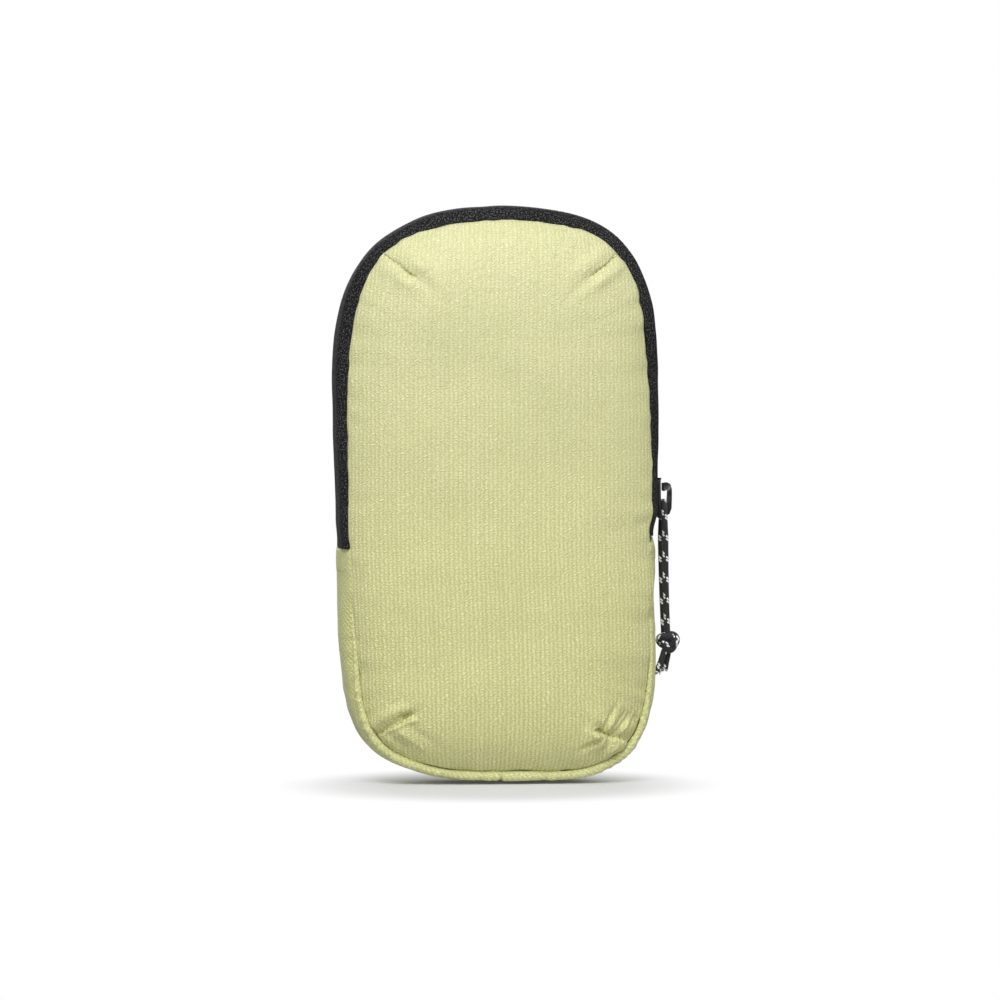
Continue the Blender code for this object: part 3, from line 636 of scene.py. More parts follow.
def sweep(name, look, runs, sections, loop=False, push=0.0, smoothAngle=50, skew=0.0):
    # runs goes round the outline and sections holds a closed (inset, depth) loop for each run
    sections = np.asarray(sections, float)
    if sections.ndim == 2:
        sections = np.repeat(sections[None], len(runs), axis=0)
    spots = rim(runs[:, None] + skew, sections[..., 0] - push, sections[..., 1])
    closed = np.concatenate([sections, sections[:, :1]], axis=1)
    across = np.cumsum(np.linalg.norm(np.diff(closed, axis=1), axis=2), axis=1)
    across = np.concatenate([np.zeros((len(runs), 1)), across], axis=1)
    along = np.repeat(runs[:, None], across.shape[1], axis=1)
    if loop:
        across = np.concatenate([across, across[:1]])
        along = np.concatenate([along, along[:1] + perimeter])
    return gridMesh(name, spots, np.stack([along, across], axis=-1), look, loop, True, smoothAngle=smoothAngle)


def tube(name, look, path, radii, sides=14, lead=(0, 0, 1), closed=False):
    # a round body along a 3D line, its rings turned as little as they can be
    path = np.asarray(path, float)
    count = len(path)
    if closed:
        ways = np.roll(path, -1, axis=0) - np.roll(path, 1, axis=0)
        ways /= np.linalg.norm(ways, axis=1)[:, None]
    else:
        ways = waysAlong(path)
    arm = np.array(lead, float)
    arms = []
    for way in ways:
        arm = arm - way * arm.dot(way)
        arm /= np.linalg.norm(arm)
        arms.append(arm)
    arms = np.array(arms)
    others = np.cross(ways, arms)
    twist = np.zeros(count)
    if closed:
        back = arms[-1] - ways[0] * arms[-1].dot(ways[0])
        slip = math.atan2(back.dot(others[0]), back.dot(arms[0]))
        twist = -slip * np.arange(count) / count
    angle = np.arange(sides)[None] / sides * math.tau + twist[:, None]
    reach = np.broadcast_to(np.asarray(radii, float), (count,))[:, None, None]
    cosines, sines = np.cos(angle)[..., None], np.sin(angle)[..., None]
    spots = path[:, None] + reach * (cosines * arms[:, None] + sines * others[:, None])
    steps = np.linalg.norm(np.diff(np.concatenate([path, path[:1]]), axis=0), axis=1)
    along = np.concatenate([[0.0], np.cumsum(steps)])[: count + closed]
    around = np.arange(sides + 1) / sides * math.tau * float(np.max(reach))
    uvs = np.stack(np.broadcast_arrays(around[None], along[:, None]), axis=-1)
    return gridMesh(name, spots, uvs, look, closed, True, smoothAngle=60)


def joinPieces(name, pieces):
    pick(*pieces)
    bpy.ops.object.join()
    pieces[0].name = name
    pieces[0].data.name = name
    return pieces[0]


stitch = {"long": 0.0017, "hem": 0.0012, "dart": 0.0010, "radius": 0.00014, "sides": 5}
# along a stitch, and how thick it is there
stitchShape = ((-0.5, 0.35), (-0.34, 1.0), (0.34, 1.0), (0.5, 0.35))


def stitchRow(name, look, middles, ways, length, radius=stitch["radius"]):
    # small lozenge stitches, one at each middle, lying along its way
    turns = np.arange(stitch["sides"])[:, None] / stitch["sides"] * math.tau
    bodies = []
    for middle, way in zip(np.asarray(middles, float), np.asarray(ways, float)):
        way = way / np.linalg.norm(way)
        arm = np.cross(way, (0.31, 0.9, 0.27))
        arm /= np.linalg.norm(arm)
        circle = radius * (np.cos(turns) * arm + np.sin(turns) * np.cross(way, arm))
        bodies.append([middle + way * share * length + size * circle for share, size in stitchShape])
    return ringBodies(name, look, bodies, lambda body, corner, ring: (corner * radius, stitchShape[ring][0] * length))


def waysRound(places):
    # the way on round the wall at each place
    return rim(places + 0.0004, 0.0, 0.0) - rim(places - 0.0004, 0.0, 0.0)


def declare(piece, nodes):
    if nodes:
        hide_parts(*nodes)
    return piece


def settle(piece, body, slot, *nodes):
    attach(piece, body)
    return declare(piece, nodes)


def settleAcrossFold(piece, slot, *nodes):
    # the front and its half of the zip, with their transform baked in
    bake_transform(piece)
    return declare(piece, nodes)


# Pull cord, doubled through the slider's crown and knotted
slider = {
    "z": -0.0012,
    "length": 0.0128,
    "noseHalfWidth": 0.0044,
    "tailHalfWidth": 0.0034,
    "plate": 0.0010,
    "crownHalfWidth": 0.0011,
    "bar": 0.0014,
    "window": 0.0024,
    "root": 0.0034,
    "nose": 0.0028,
    "waist": 0.45,
    "rail": 0.0006,
    "railX": 0.0494,
    "neckX": 0.0486,
    "neckRise": 0.0030,
    "neckLength": 0.0056,
    "neckSize": (0.0018, 0.00048, 1),
    "noseStep": 0.0012,
    "tailStep": 0.0010,
    "stopThick": 0.0010,
    "stopHalfWidth": 0.0026,
    "stopHeight": 0.0015,
}
plateX = pouch["topHalfWidth"] + pouch["gap"] + slider["plate"]
noseZ = slider["z"] - slider["length"] / 2
tailZ = slider["z"] + slider["length"] / 2
crownLow = noseZ + 0.0006
crownHigh = tailZ - 0.0015
cord = {
    "diameter": cordThickness,
    "bight": 0.0029,
    "strand": 0.0384,
    "sways": (-0.0001, -0.00005, 0.0009),
    "halfSpread": 0.0009,
    "sideSteps": (0.0001, 0.00033),
    "knotOut": 0.0010,
    "knotDrop": 0.0030,
    "knotDiameter": 0.0025,
    "knotSize": 0.00060,
    "tail": 0.0072,
    "tailSpread": 0.0009,
    "slip": 0.0034,
    "fleckShift": 0.0020,
    "fibres": 26,
    "fibreRadius": 0.00018,
}
cordX = plateX + slider["window"] / 2
bightZ = crownLow + slider["root"] + 0.0001 + cord["diameter"] / 2
bendZ = bightZ - cord["bight"]
cordY = -pouch["chainDepth"]


def strandPoint(side, share):
    # drawn together on the way down, one strand beside the other, and hanging a little slack
    drawnIn = float(ease(share))
    y = cord["bight"] + (cord["halfSpread"] - cord["bight"]) * drawnIn
    level, slope, bend = cord["sways"]
    near, more = cord["sideSteps"]
    x = cordX + level + slope * share + bend * share * share - side * (near + more * float(ease(share / 0.25)))
    return (x, side * y + cordY, bendZ - cord["strand"] * share)


def makeCord():
    steps = 34
    route = [strandPoint(-1, k / steps) for k in range(steps + 1, 0, -1)]
    for k in range(17):
        turn = math.pi * k / 16
        x = cordX + cord["sways"][0] + cord["sideSteps"][0] * math.cos(turn)
        route.append((x, cordY - cord["bight"] * math.cos(turn), bendZ + cord["bight"] * math.sin(turn)))
    route += [strandPoint(1, k / steps) for k in range(1, steps + 2)]
    route = np.array(route)
    pull = tube("pullCord", looks["cord"], route, cord["diameter"] / 2, 24, lead=(1, 0, 0))
    for corner in pull.data.uv_layers["sewn"].data:
        slid = float(ease((corner.uv.y - cord["strand"] - 0.001) / 0.007))
        corner.uv.y += cord["slip"] * slid - cord["fleckShift"]

    endZ = bendZ - cord["strand"]
    centre = np.array([cordX + sum(cord["sways"]) + cord["knotOut"], cordY, endZ - cord["knotDrop"] + 0.0002])
    # an overhand knot drawn tight: three lobes, the upper left one standing out
    turns = np.linspace(0, math.tau, 180, endpoint=False)
    size = cord["knotSize"] * (1 + 0.22 * np.exp(-(((turns - math.radians(302)) / 0.40) ** 2)))
    lobes = np.column_stack([
        np.sin(turns) + 3.1 * np.sin(2 * turns),
        -1.7 * np.sin(3 * turns),
        np.cos(turns) - 3.1 * np.cos(2 * turns),
    ]) @ np.array(Matrix.Rotation(math.radians(10), 3, "Y"))
    path = centre + lobes * size[:, None]
    knot = tube("pullCordKnot", looks["cord"], path, cord["knotDiameter"] / 2, 18, lead=(0, 1, 0), closed=True)

    tails = []
    topZ = centre[2] - 0.0020
    shares = np.linspace(0, 1, 14)
    swell = cord["diameter"] / 2 * (1 + 0.16 * ease((shares - 0.7) / 0.3) - 0.25 * ease((0.12 - shares) / 0.12))
    # each tail's side, how far out it starts and drifts, and its length
    for number, (side, word, out, drift, length) in enumerate((
        (-1, "Front", 0.0014, 0.0024, cord["tail"]),
        (1, "Rear", -0.0001, 0.0012, cord["tail"] - 0.0006),
    )):
        y = side * cord["halfSpread"] + cordY + side * cord["tailSpread"] * shares ** 2
        path = np.column_stack([centre[0] - out - drift * shares ** 1.2, y, topZ - length * shares])
        parts = [tube(f"cordTail{word}", looks["cord"], path, swell, 18, lead=(1, 0, 0))]
        rng = np.random.default_rng(31 + number)
        for k in range(cord["fibres"]):
            turn, out = rng.uniform(0, math.tau), math.sqrt(rng.uniform(0.05, 1)) * cord["diameter"] * 0.48
            start = path[-1] + np.array([out * math.cos(turn), out * math.sin(turn), 0.0003])
            splay = np.array([math.cos(turn), math.sin(turn), 0.0]) * rng.uniform(0, 0.0005)
            stop = start + splay + np.array([0, 0, -rng.uniform(0.0005, 0.0015)])
            radii = np.array([1, 0.95, 0.8, 0.3]) * cord["fibreRadius"]
            parts.append(tube(f"fibre{k}", looks["cord"], np.linspace(start, stop, 4), radii, 5))
        tails.append(joinPieces(f"cordTail{word}", parts))

    settle(pull, "cord", "cord", "pull_cord")
    settle(knot, "cord", "cord", "pull_cord_knot")
    settle(tails[0], "cord", "cord", "pull_cord_tail_front")
    settle(tails[1], "cord", "cord", "pull_cord_tail_rear")


makeCord()
print("pull cord made")


# Front panel: one pillowed cloth with four darts, and its lining
front = {
    "depth": 0.0199,
    "rise": 0.0103,
    "power": 3.0,
    "roll": 0.75,
    "spineTop": 0.044,
    "spineBottom": -0.050,
    "cloth": 0.0006,
    "around": 620,
    "rings": 57,
    "pucker": 0.00034,
    "undulation": 0.00034,
    "dartPitch": 0.0015,
    # how far the puckers and the hills take to fade in or out from the seam, and the hills' lengths
    "puckerReach": 0.0030,
    "hillReach": 0.008,
    "hills": (0.048, 0.015),
    # the seam's valley beside the corded edge: how deep, its first and last run, and its blend
    "valley": (0.0011, 0.165, 0.312, 0.020),
    "hemStep": 0.0008,
    "liningInset": 0.0006,
    "liningSlack": 0.0004,
    "liningUndulation": 0.00012,
}
# how far the front seam stands inside the wall, at its crests and hollows, run and inset in mm
seamKnots = (
    (0, 4.15), (6, 3.95), (14, 4.15), (22, 4.1), (28, 3.85), (38, 3.8), (52, 3.5), (61, 4.3), (69, 4.1), (79, 4.05),
    (95, 3.2), (98, 3.15), (114, 2.05), (122, 2.15), (131, 1.7), (136, 1.8), (142, 2.45), (152, 1.05), (155, 1.1),
    (161, 2.3), (168, 2.65), (187, 3.7), (200, 3.55), (315, 3.65), (322, 3.6), (342, 2.4), (351, 2.4),
    (358, 2.2), (364, 2.5), (391, 3.3), (396, 3.05), (409, 3.7), (414, 3.7), (421, 4.0), (431, 3.75),
    (436, 4.0), (445, 3.15), (456, 3.05), (478, 4.3), (486, 4.0),
)
# start at the seam, end inside the panel; then depth, half width, swell beside it, and step across it
dartRows = (
    ((-0.0378, 0.0766), (-0.0278, 0.0692), 0.0004, 0.00035, 0.0006, 0.0003),
    ((0.0370, 0.0766), (0.0280, 0.0692), 0.0004, 0.00035, 0.0006, -0.0003),
    ((-0.0408, -0.0750), (-0.0312, -0.0694), 0.0008, 0.0006, 0.0009, -0.0008),
    ((0.0392, -0.0770), (0.0278, -0.0734), 0.0009, 0.0006, 0.0010, 0.0008),
)
darts = [dict(zip(("start", "end", "deep", "wide", "swell", "step"), row)) for row in dartRows]
# the step's width and how it dies away, the swells beside a dart, and the lining's hollow under it
dartShape = {
    "stepWidth": 0.0005,
    "stepReach": 0.0028,
    "swellAway": 0.0032,
    "swellWidth": 0.0024,
    "roomDepth": 0.0016,
    "roomWidth": 0.0055,
}
# x, z, lean, half length, half width, height: pinches at dart ends and the gathers beside them
folds = (
    (-0.0296, 0.0700, -0.55, 0.0024, 0.0005, -0.0006),
    (-0.0302, 0.0690, -1.20, 0.0012, 0.0006, -0.0003),
    (-0.0240, 0.0664, -0.80, 0.0050, 0.0016, -0.0003),
    (-0.0300, 0.0668, -0.63, 0.0045, 0.0018, 0.0004),
    (-0.0262, 0.0722, -0.63, 0.0052, 0.0026, 0.0009),
    (0.0292, 0.0700, 0.60, 0.0024, 0.0005, -0.0005),
    (0.0242, 0.0662, 0.80, 0.0050, 0.0016, -0.0003),
    (0.0300, 0.0668, 0.66, 0.0045, 0.0018, 0.0004),
    (0.0262, 0.0722, 0.66, 0.0052, 0.0026, 0.0007),
    (-0.0314, -0.0683, 0.35, 0.0022, 0.0011, -0.0024),
    (-0.0328, -0.0709, 0.52, 0.0040, 0.0008, 0.0008),
    (-0.0290, -0.0698, 0.30, 0.0014, 0.0008, 0.0007),
    (-0.0350, -0.0668, 0.50, 0.0040, 0.0020, 0.0006),
    (-0.0330, -0.0768, -0.75, 0.0052, 0.0010, -0.0006),
    (-0.0302, -0.0752, -0.70, 0.0060, 0.0009, 0.0005),
    (-0.0365, -0.0775, -0.80, 0.0042, 0.0009, -0.0006),
    (-0.0270, -0.0738, -0.60, 0.0070, 0.0012, -0.0004),
    (0.0254, -0.0708, 1.15, 0.0024, 0.0012, -0.0010),
    (0.0284, -0.0725, 0.20, 0.0007, 0.0005, 0.0010),
    (0.0294, -0.0732, -0.75, 0.0012, 0.0005, -0.0011),
    (0.0312, -0.0745, -0.55, 0.0012, 0.0005, -0.0008),
    (0.0283, -0.0747, -0.45, 0.0020, 0.0011, 0.0012),
    (0.0277, -0.0772, 0.55, 0.0036, 0.0008, -0.0016),
    (0.0312, -0.0785, 1.10, 0.0032, 0.0008, -0.0013),
    (0.0338, -0.0792, 0.80, 0.0034, 0.0009, 0.0008),
    (0.0322, -0.0700, 1.05, 0.0046, 0.0006, -0.0009),
    (0.0336, -0.0706, 1.05, 0.0042, 0.0006, 0.0006),
    (0.0352, -0.0712, 0.90, 0.0040, 0.0005, -0.0008),
    (0.0366, -0.0716, 0.85, 0.0050, 0.0006, -0.0009),
    (0.0378, -0.0728, 0.88, 0.0044, 0.0006, 0.0006),
    (0.0390, -0.0722, 0.95, 0.0050, 0.0005, -0.0007),
    (0.0275, -0.0690, 1.10, 0.0040, 0.0022, 0.0007),
    (0.0452, -0.0084, 0.05, 0.0022, 0.0007, -0.0004),
)


def dartRelief(x, z):
    shape = dartShape
    total = np.zeros(np.shape(x))
    for dart in darts:
        (sx, sz), (ex, ez) = dart["start"], dart["end"]
        long = math.hypot(ex - sx, ez - sz)
        tx, tz = (ex - sx) / long, (ez - sz) / long
        along = ((x - sx) * tx + (z - sz) * tz) / long
        across = (z - sz) * tx - (x - sx) * tz
        across = across + 0.00025 * np.sin(along * 9)
        window = ease((along + 0.3) / 0.2) * (1 - ease((along - 0.92) / 0.16))
        groove = (0.5 + 0.5 * np.clip(along, 0, 1)) * window
        total -= dart["deep"] * groove * np.exp(-((np.abs(across) / dart["wide"]) ** 1.4))
        dying = np.exp(-np.abs(across) / shape["stepReach"])
        total += dart["step"] * window * np.tanh(across / shape["stepWidth"]) * dying
        beside = ease((along + 0.2) / 0.4) * (1 - ease((along - 0.8) / 0.5))
        for way, share in ((1, 1.0), (-1, 0.8)):
            off = (across - way * shape["swellAway"]) / shape["swellWidth"]
            total += dart["swell"] * share * beside * np.exp(-(off ** 2))
    for fx, fz, turn, halfLong, halfWide, height in folds:
        along = (x - fx) * math.cos(turn) + (z - fz) * math.sin(turn)
        across = (z - fz) * math.cos(turn) - (x - fx) * math.sin(turn)
        total += height * np.exp(-((along / halfLong) ** 2) - (across / halfWide) ** 2)
    return total


def dartRoom(x, z):
    # the lining gives way under each dart
    total = np.zeros(np.shape(x))
    for dart in darts:
        (sx, sz), (ex, ez) = dart["start"], dart["end"]
        wayX, wayZ = ex - sx, ez - sz
        share = np.clip(((x - sx) * wayX + (z - sz) * wayZ) / (wayX ** 2 + wayZ ** 2), 0, 1.1)
        away = np.hypot(x - sx - share * wayX, z - sz - share * wayZ)
        hollow = dartShape["roomDepth"] * np.exp(-((away / dartShape["roomWidth"]) ** 2))
        total = np.minimum(total, -hollow)
    return total


def seamInset(runs):
    return easedLine(runs, seamKnots)


def closeRuns(count):
    # runs round the panel, close together where the darts are
    fine = np.linspace(0, perimeter, 4001)
    weight = np.ones_like(fine)
    for dart in darts:
        x, z = dart["start"]
        middle = float(halfRun[np.argmin(np.hypot(half[:, 0] - abs(x), half[:, 1] - z))])
        middle = middle if x > 0 else perimeter - middle
        weight += 4.5 * np.exp(-(((fine - middle) / 0.011) ** 2))
    total = np.concatenate([[0.0], np.cumsum((weight[1:] + weight[:-1]) / 2)])
    return np.interp(np.arange(count) / count * total[-1], total, fine)


def crownGrid(drop, depth, rise, around, rings, pucker, relief, hem=()):
    runs = closeRuns(around)
    inset = seamInset(runs) + drop
    wander = inset + pucker * (0.65 * roundRipple(runs, 3, 172) + 0.35 * roundRipple(runs, 5, 61))
    # beside the corded edge the seam lies in a valley, beside the tape it lies nearly level with it
    deep, first, last, blend = front["valley"]
    sunk = deep * ease((runs - first) / blend) * (1 - ease((runs - last) / blend))
    depths = depth - sunk
    edge = plainRim(runs, wander, depths)
    spine = np.zeros_like(edge)
    spine[:, 2] = np.round(np.clip(edge[:, 2], front["spineBottom"], front["spineTop"]) / 0.002) * 0.002
    inner = int(rings * 0.70)
    shares = np.interp(np.arange(rings + 1), (0, 1, 2, 3, inner, rings), (0, 0.004, 0.010, 0.018, 0.29, 1))
    spots = edge[:, None] + (spine - edge)[:, None] * shares[None, :, None]
    swell = (1 - (1 - shares) ** front["power"]) ** front["roll"]
    spots[..., 1] = -(depths[:, None] + (rise + sunk)[:, None] * swell[None])
    x, z = spots[..., 0].copy(), spots[..., 2].copy()
    along = np.roll(spots, -1, axis=0) - np.roll(spots, 1, axis=0)
    across = np.gradient(spots, axis=1)
    facing = np.cross(along, across)
    size = np.linalg.norm(facing, axis=2)
    good = size > 1e-12
    normal = np.zeros_like(facing)
    normal[..., 1] = -1
    normal[good] = facing[good] / size[good][:, None]
    normal *= np.where(normal[..., 1:2] > 0, -1, 1)
    normal[:, -3:] = (0, -1, 0)
    reach = np.linalg.norm(edge - spine, axis=1)[:, None] * shares[None]
    fading = np.exp(-reach / front["puckerReach"])
    lift = 1.4 * pucker * fading * roundRipple(runs, 7, 140)[:, None] * ease(reach / 0.0010)
    broad, small = front["hills"]
    hills = 0.75 * billow(x, z, 11, broad) + 0.25 * billow(x, z, 12, small)
    lift = lift + relief * (1 - np.exp(-reach / front["hillReach"])) * hills
    lift = lift + (dartRelief(x, z) if hem else dartRoom(x, z)) * ease(reach / 0.0008)
    spots = spots + normal * lift[..., None]
    lengths = np.linalg.norm(np.diff(spots, axis=1), axis=2)
    fromSpine = np.concatenate([np.cumsum(lengths[:, ::-1], axis=1)[:, ::-1], np.zeros((around, 1))], axis=1)
    way = (edge - spine)[:, (0, 2)]
    way /= np.linalg.norm(way, axis=1)[:, None]
    uvs = spine[:, None, (0, 2)] + way[:, None] * fromSpine[..., None]
    if hem:
        turned = np.stack([plainRim(runs, wander + a, depths - b) for a, b in hem], axis=1)
        extra = np.cumsum([front["hemStep"]] * len(hem))[::-1]
        more = uvs[:, :1] + way[:, None] * extra[None, :, None]
        spots = np.concatenate([turned, spots], axis=1)
        uvs = np.concatenate([more, uvs], axis=1)
    return lean(spots), np.concatenate([uvs, uvs[:1]])


def makeFront():
    hem = ((0.0008, 0.0016), (0.00025, 0.0013), (0.00002, 0.0009), (-0.00006, 0.0004))
    shape = (front[key] for key in ("depth", "rise", "around", "rings", "pucker", "undulation"))
    spots, uvs = crownGrid(0.0, *shape, hem)
    panel = gridMesh("frontPanel", spots, uvs, looks["lime"], True, False, (0, -1, 0), 80)
    surface = BVHTree.FromPolygons([v.co for v in panel.data.vertices], [p.vertices for p in panel.data.polygons])
    giveThickness(panel, front["cloth"])
    settleAcrossFold(panel, "shell_cloth", "front_panel_lower", "front_panel_fold", "front_panel_flap")

    drop = front["cloth"] + pouch["gap"]
    depth, rise = front["depth"] - drop, front["rise"] - front["liningSlack"]
    spots, uvs = crownGrid(front["liningInset"] + drop, depth, rise, 200, 26, 0.0, front["liningUndulation"])
    lining = gridMesh("frontLining", spots, uvs, looks["lining"], True, False, (0, -1, 0), 80)
    giveThickness(lining, pouch["lining"])
    settleAcrossFold(lining, "lining_cloth", "front_lining_lower", "front_lining_fold", "front_lining_flap")

    middles, ways = [], []
    for dart in darts:
        start, end = (lean((x, -0.028, z))[[0, 2]] for x, z in (dart["start"], dart["end"]))
        way = (end - start) / np.linalg.norm(end - start)
        count = int(np.linalg.norm(end - start) / front["dartPitch"])
        for k in range(1, count):
            x, z = start + (end - start) * k / count
            hit = surface.ray_cast(Vector((x, -0.1, z)), Vector((0, 1, 0)))[0]
            middles.append((hit.x, hit.y - 0.00002, hit.z))
            ways.append((way[0], 0.0, way[1]))
    stitches = stitchRow("dartStitches", looks["limeThread"], middles, ways, stitch["dart"])
    settleAcrossFold(stitches, "shell_cloth")


makeFront()
print("front panel and lining made")

# Zip: two tapes on edge, two coils of teeth inside, rows of stitches
zipper = {
    "tape": 0.0008,
    "lean": 0.0003,
    "slot": 0.00022,
    "parted": 0.0009,
    "tooth": 0.0013,
    "filament": 0.00027,
    "coilHeight": 0.0019,
    "stitchPitch": 0.0021,
    "stitchAway": 0.0013,
    "wobble": 0.00005,
    "turnPitch": 0.00075,
    "slotCentre": 0.00058,
    "shares": ((0.0, 0.0), (0.0, 0.5), (0.12, 0.69), (0.5, 0.86), (1.0, 1.0)),
}
zipLeft = runAt(pouch["leftEndZ"], -1) - perimeter
zipRight = runAt(pouch["rightEndZ"], 1)
wallStart = pouch["cloth"] + pouch["gap"]


def slotHalf(runs):
    # shut above the slider, parted from its middle down
    height = np.interp(runs, halfRun, half[:, 1])
    below = np.where(runs > 0, ease((slider["z"] + 0.0045 - height) / 0.009), 0.0)
    return zipper["slot"] + (zipper["parted"] - zipper["slot"]) * below


def makeTapes():
    runs = np.linspace(zipLeft, zipRight, 420)
    slots = slotHalf(runs)
    turnIns = seamInset(runs) - 0.0003
    fine = np.linspace(0, 1, 12)
    backs, fronts = [], []
    for slot, turnIn in zip(slots, turnIns):
        edge = pouch["chainDepth"] - slot
        path = np.column_stack([zipper["lean"] * (1 - fine) ** 2, wallStart + (edge - wallStart) * fine])
        backs.append(clothSection(path, zipper["tape"]))
        edge = pouch["chainDepth"] + slot
        far = pouch["wallDepth"] + 0.0002
        path = rounded([(turnIn * a, edge + (far - edge) * b) for a, b in zipper["shares"]])
        fronts.append(clothSection(path, zipper["tape"]))
    wobble = zipper["wobble"] * ripple(runs, 21, 0.006)[:, None]
    back = sweep("zipTapeBack", looks["tape"], runs, backs, push=wobble)
    settle(back, "pouch", "zip_tape", "zip_tape_back")
    frontTape = sweep("zipTapeFront", looks["tape"], runs, fronts, push=wobble)
    settleAcrossFold(
        frontTape, "zip_tape", "zip_tape_front_left", "zip_tape_front_right",
        "zip_tape_fold_left", "zip_tape_fold_right", "zip_tape_front_flap",
    )
    count = int((zipRight - zipLeft) / zipper["stitchPitch"])
    places = np.linspace(zipLeft + 0.001, zipRight - 0.001, count)
    for word, side in (("Back", -1), ("Front", 1)):
        depths = pouch["chainDepth"] + side * (zipper["stitchAway"] + slotHalf(places))
        spots = rim(places, 0.00009, depths)
        row = stitchRow(f"tapeStitches{word}", looks["thread"], spots, waysRound(places), stitch["long"])
        if side < 0:
            settle(row, "pouch", "zip_tape")
        else:
            settleAcrossFold(row, "zip_tape")


def makeCoil(name, side):
    # an oval spring of nylon, one turn to a tooth, its heads reaching past the middle
    inset = zipper["tape"] + 0.0002 + zipper["coilHeight"] / 2
    turns = int((zipRight - zipLeft) / zipper["tooth"])
    perTurn = 10
    steps = np.arange(turns * perTurn + 1)
    angle = steps / perTurn * math.tau
    runs = zipLeft + 0.0006 + (zipRight - zipLeft - 0.0012) * steps / steps[-1]
    gape = slotHalf(runs) - zipper["slot"]
    deep = pouch["chainDepth"] + side * (zipper["slotCentre"] + gape + zipper["turnPitch"] * np.cos(angle))
    tall = inset + (zipper["coilHeight"] / 2 - zipper["filament"]) * np.sin(angle)
    return tube(name, looks["nylon"], rim(runs, tall, deep), zipper["filament"], 6, lead=(0.2, 1, 0.1))


makeTapes()
backCoil = makeCoil("zipCoilBack", -1)
settle(backCoil, "pouch", "zip_coil", "zip_coil_back")
frontCoil = makeCoil("zipCoilFront", 1)
settleAcrossFold(frontCoil, "zip_coil", "zip_coil_front_left", "zip_coil_front_right", "zip_coil_front_flap")
print("zip tapes and coils made")

# Lower wall, its ends folded under and stitched, with its lining and the corded edge
wall = {
    "bulge": 0.0004,
    "tucked": 0.0006,
    "endInset": 0.0012,
    "frontDepth": 0.0173,
    "hem": 0.0075,
    "hemLift": 0.00022,
    "pipingDepth": 0.0188,
    "wrinkle": 0.00036,
    "lapX": 0.0004,
    "frontPucker": 0.00028,
    "backPucker": 0.0002,
    "softness": 0.00018,
    "slant": 0.00010,
    "hemDent": 0.0002,
    "hemRow": 0.0004,
    "hemPitch": 0.0019,
}
# the cord inside the edging looks thinner where the wall pulls it taut
pipingTable = np.array([
    (130, 0.45), (150, 0.45), (165, 0.50), (178, 0.75), (190, 1.00), (205, 1.42), (246, 1.55), (275, 1.42), (295, 1.20),
    (310, 1.00), (322, 0.75), (335, 0.50), (355, 0.45),
]) / 1000


def pipingSize(runs):
    return np.interp(runs, pipingTable[:, 0], pipingTable[:, 1])


def pipingDepth(size):
    return wall["pipingDepth"] + 0.0006 * (1 - size / 0.00155)


wallFirst = runAt(pouch["rightEndZ"] - pouch["gap"], 1)
wallLast = runAt(pouch["leftEndZ"] - pouch["gap"], -1)


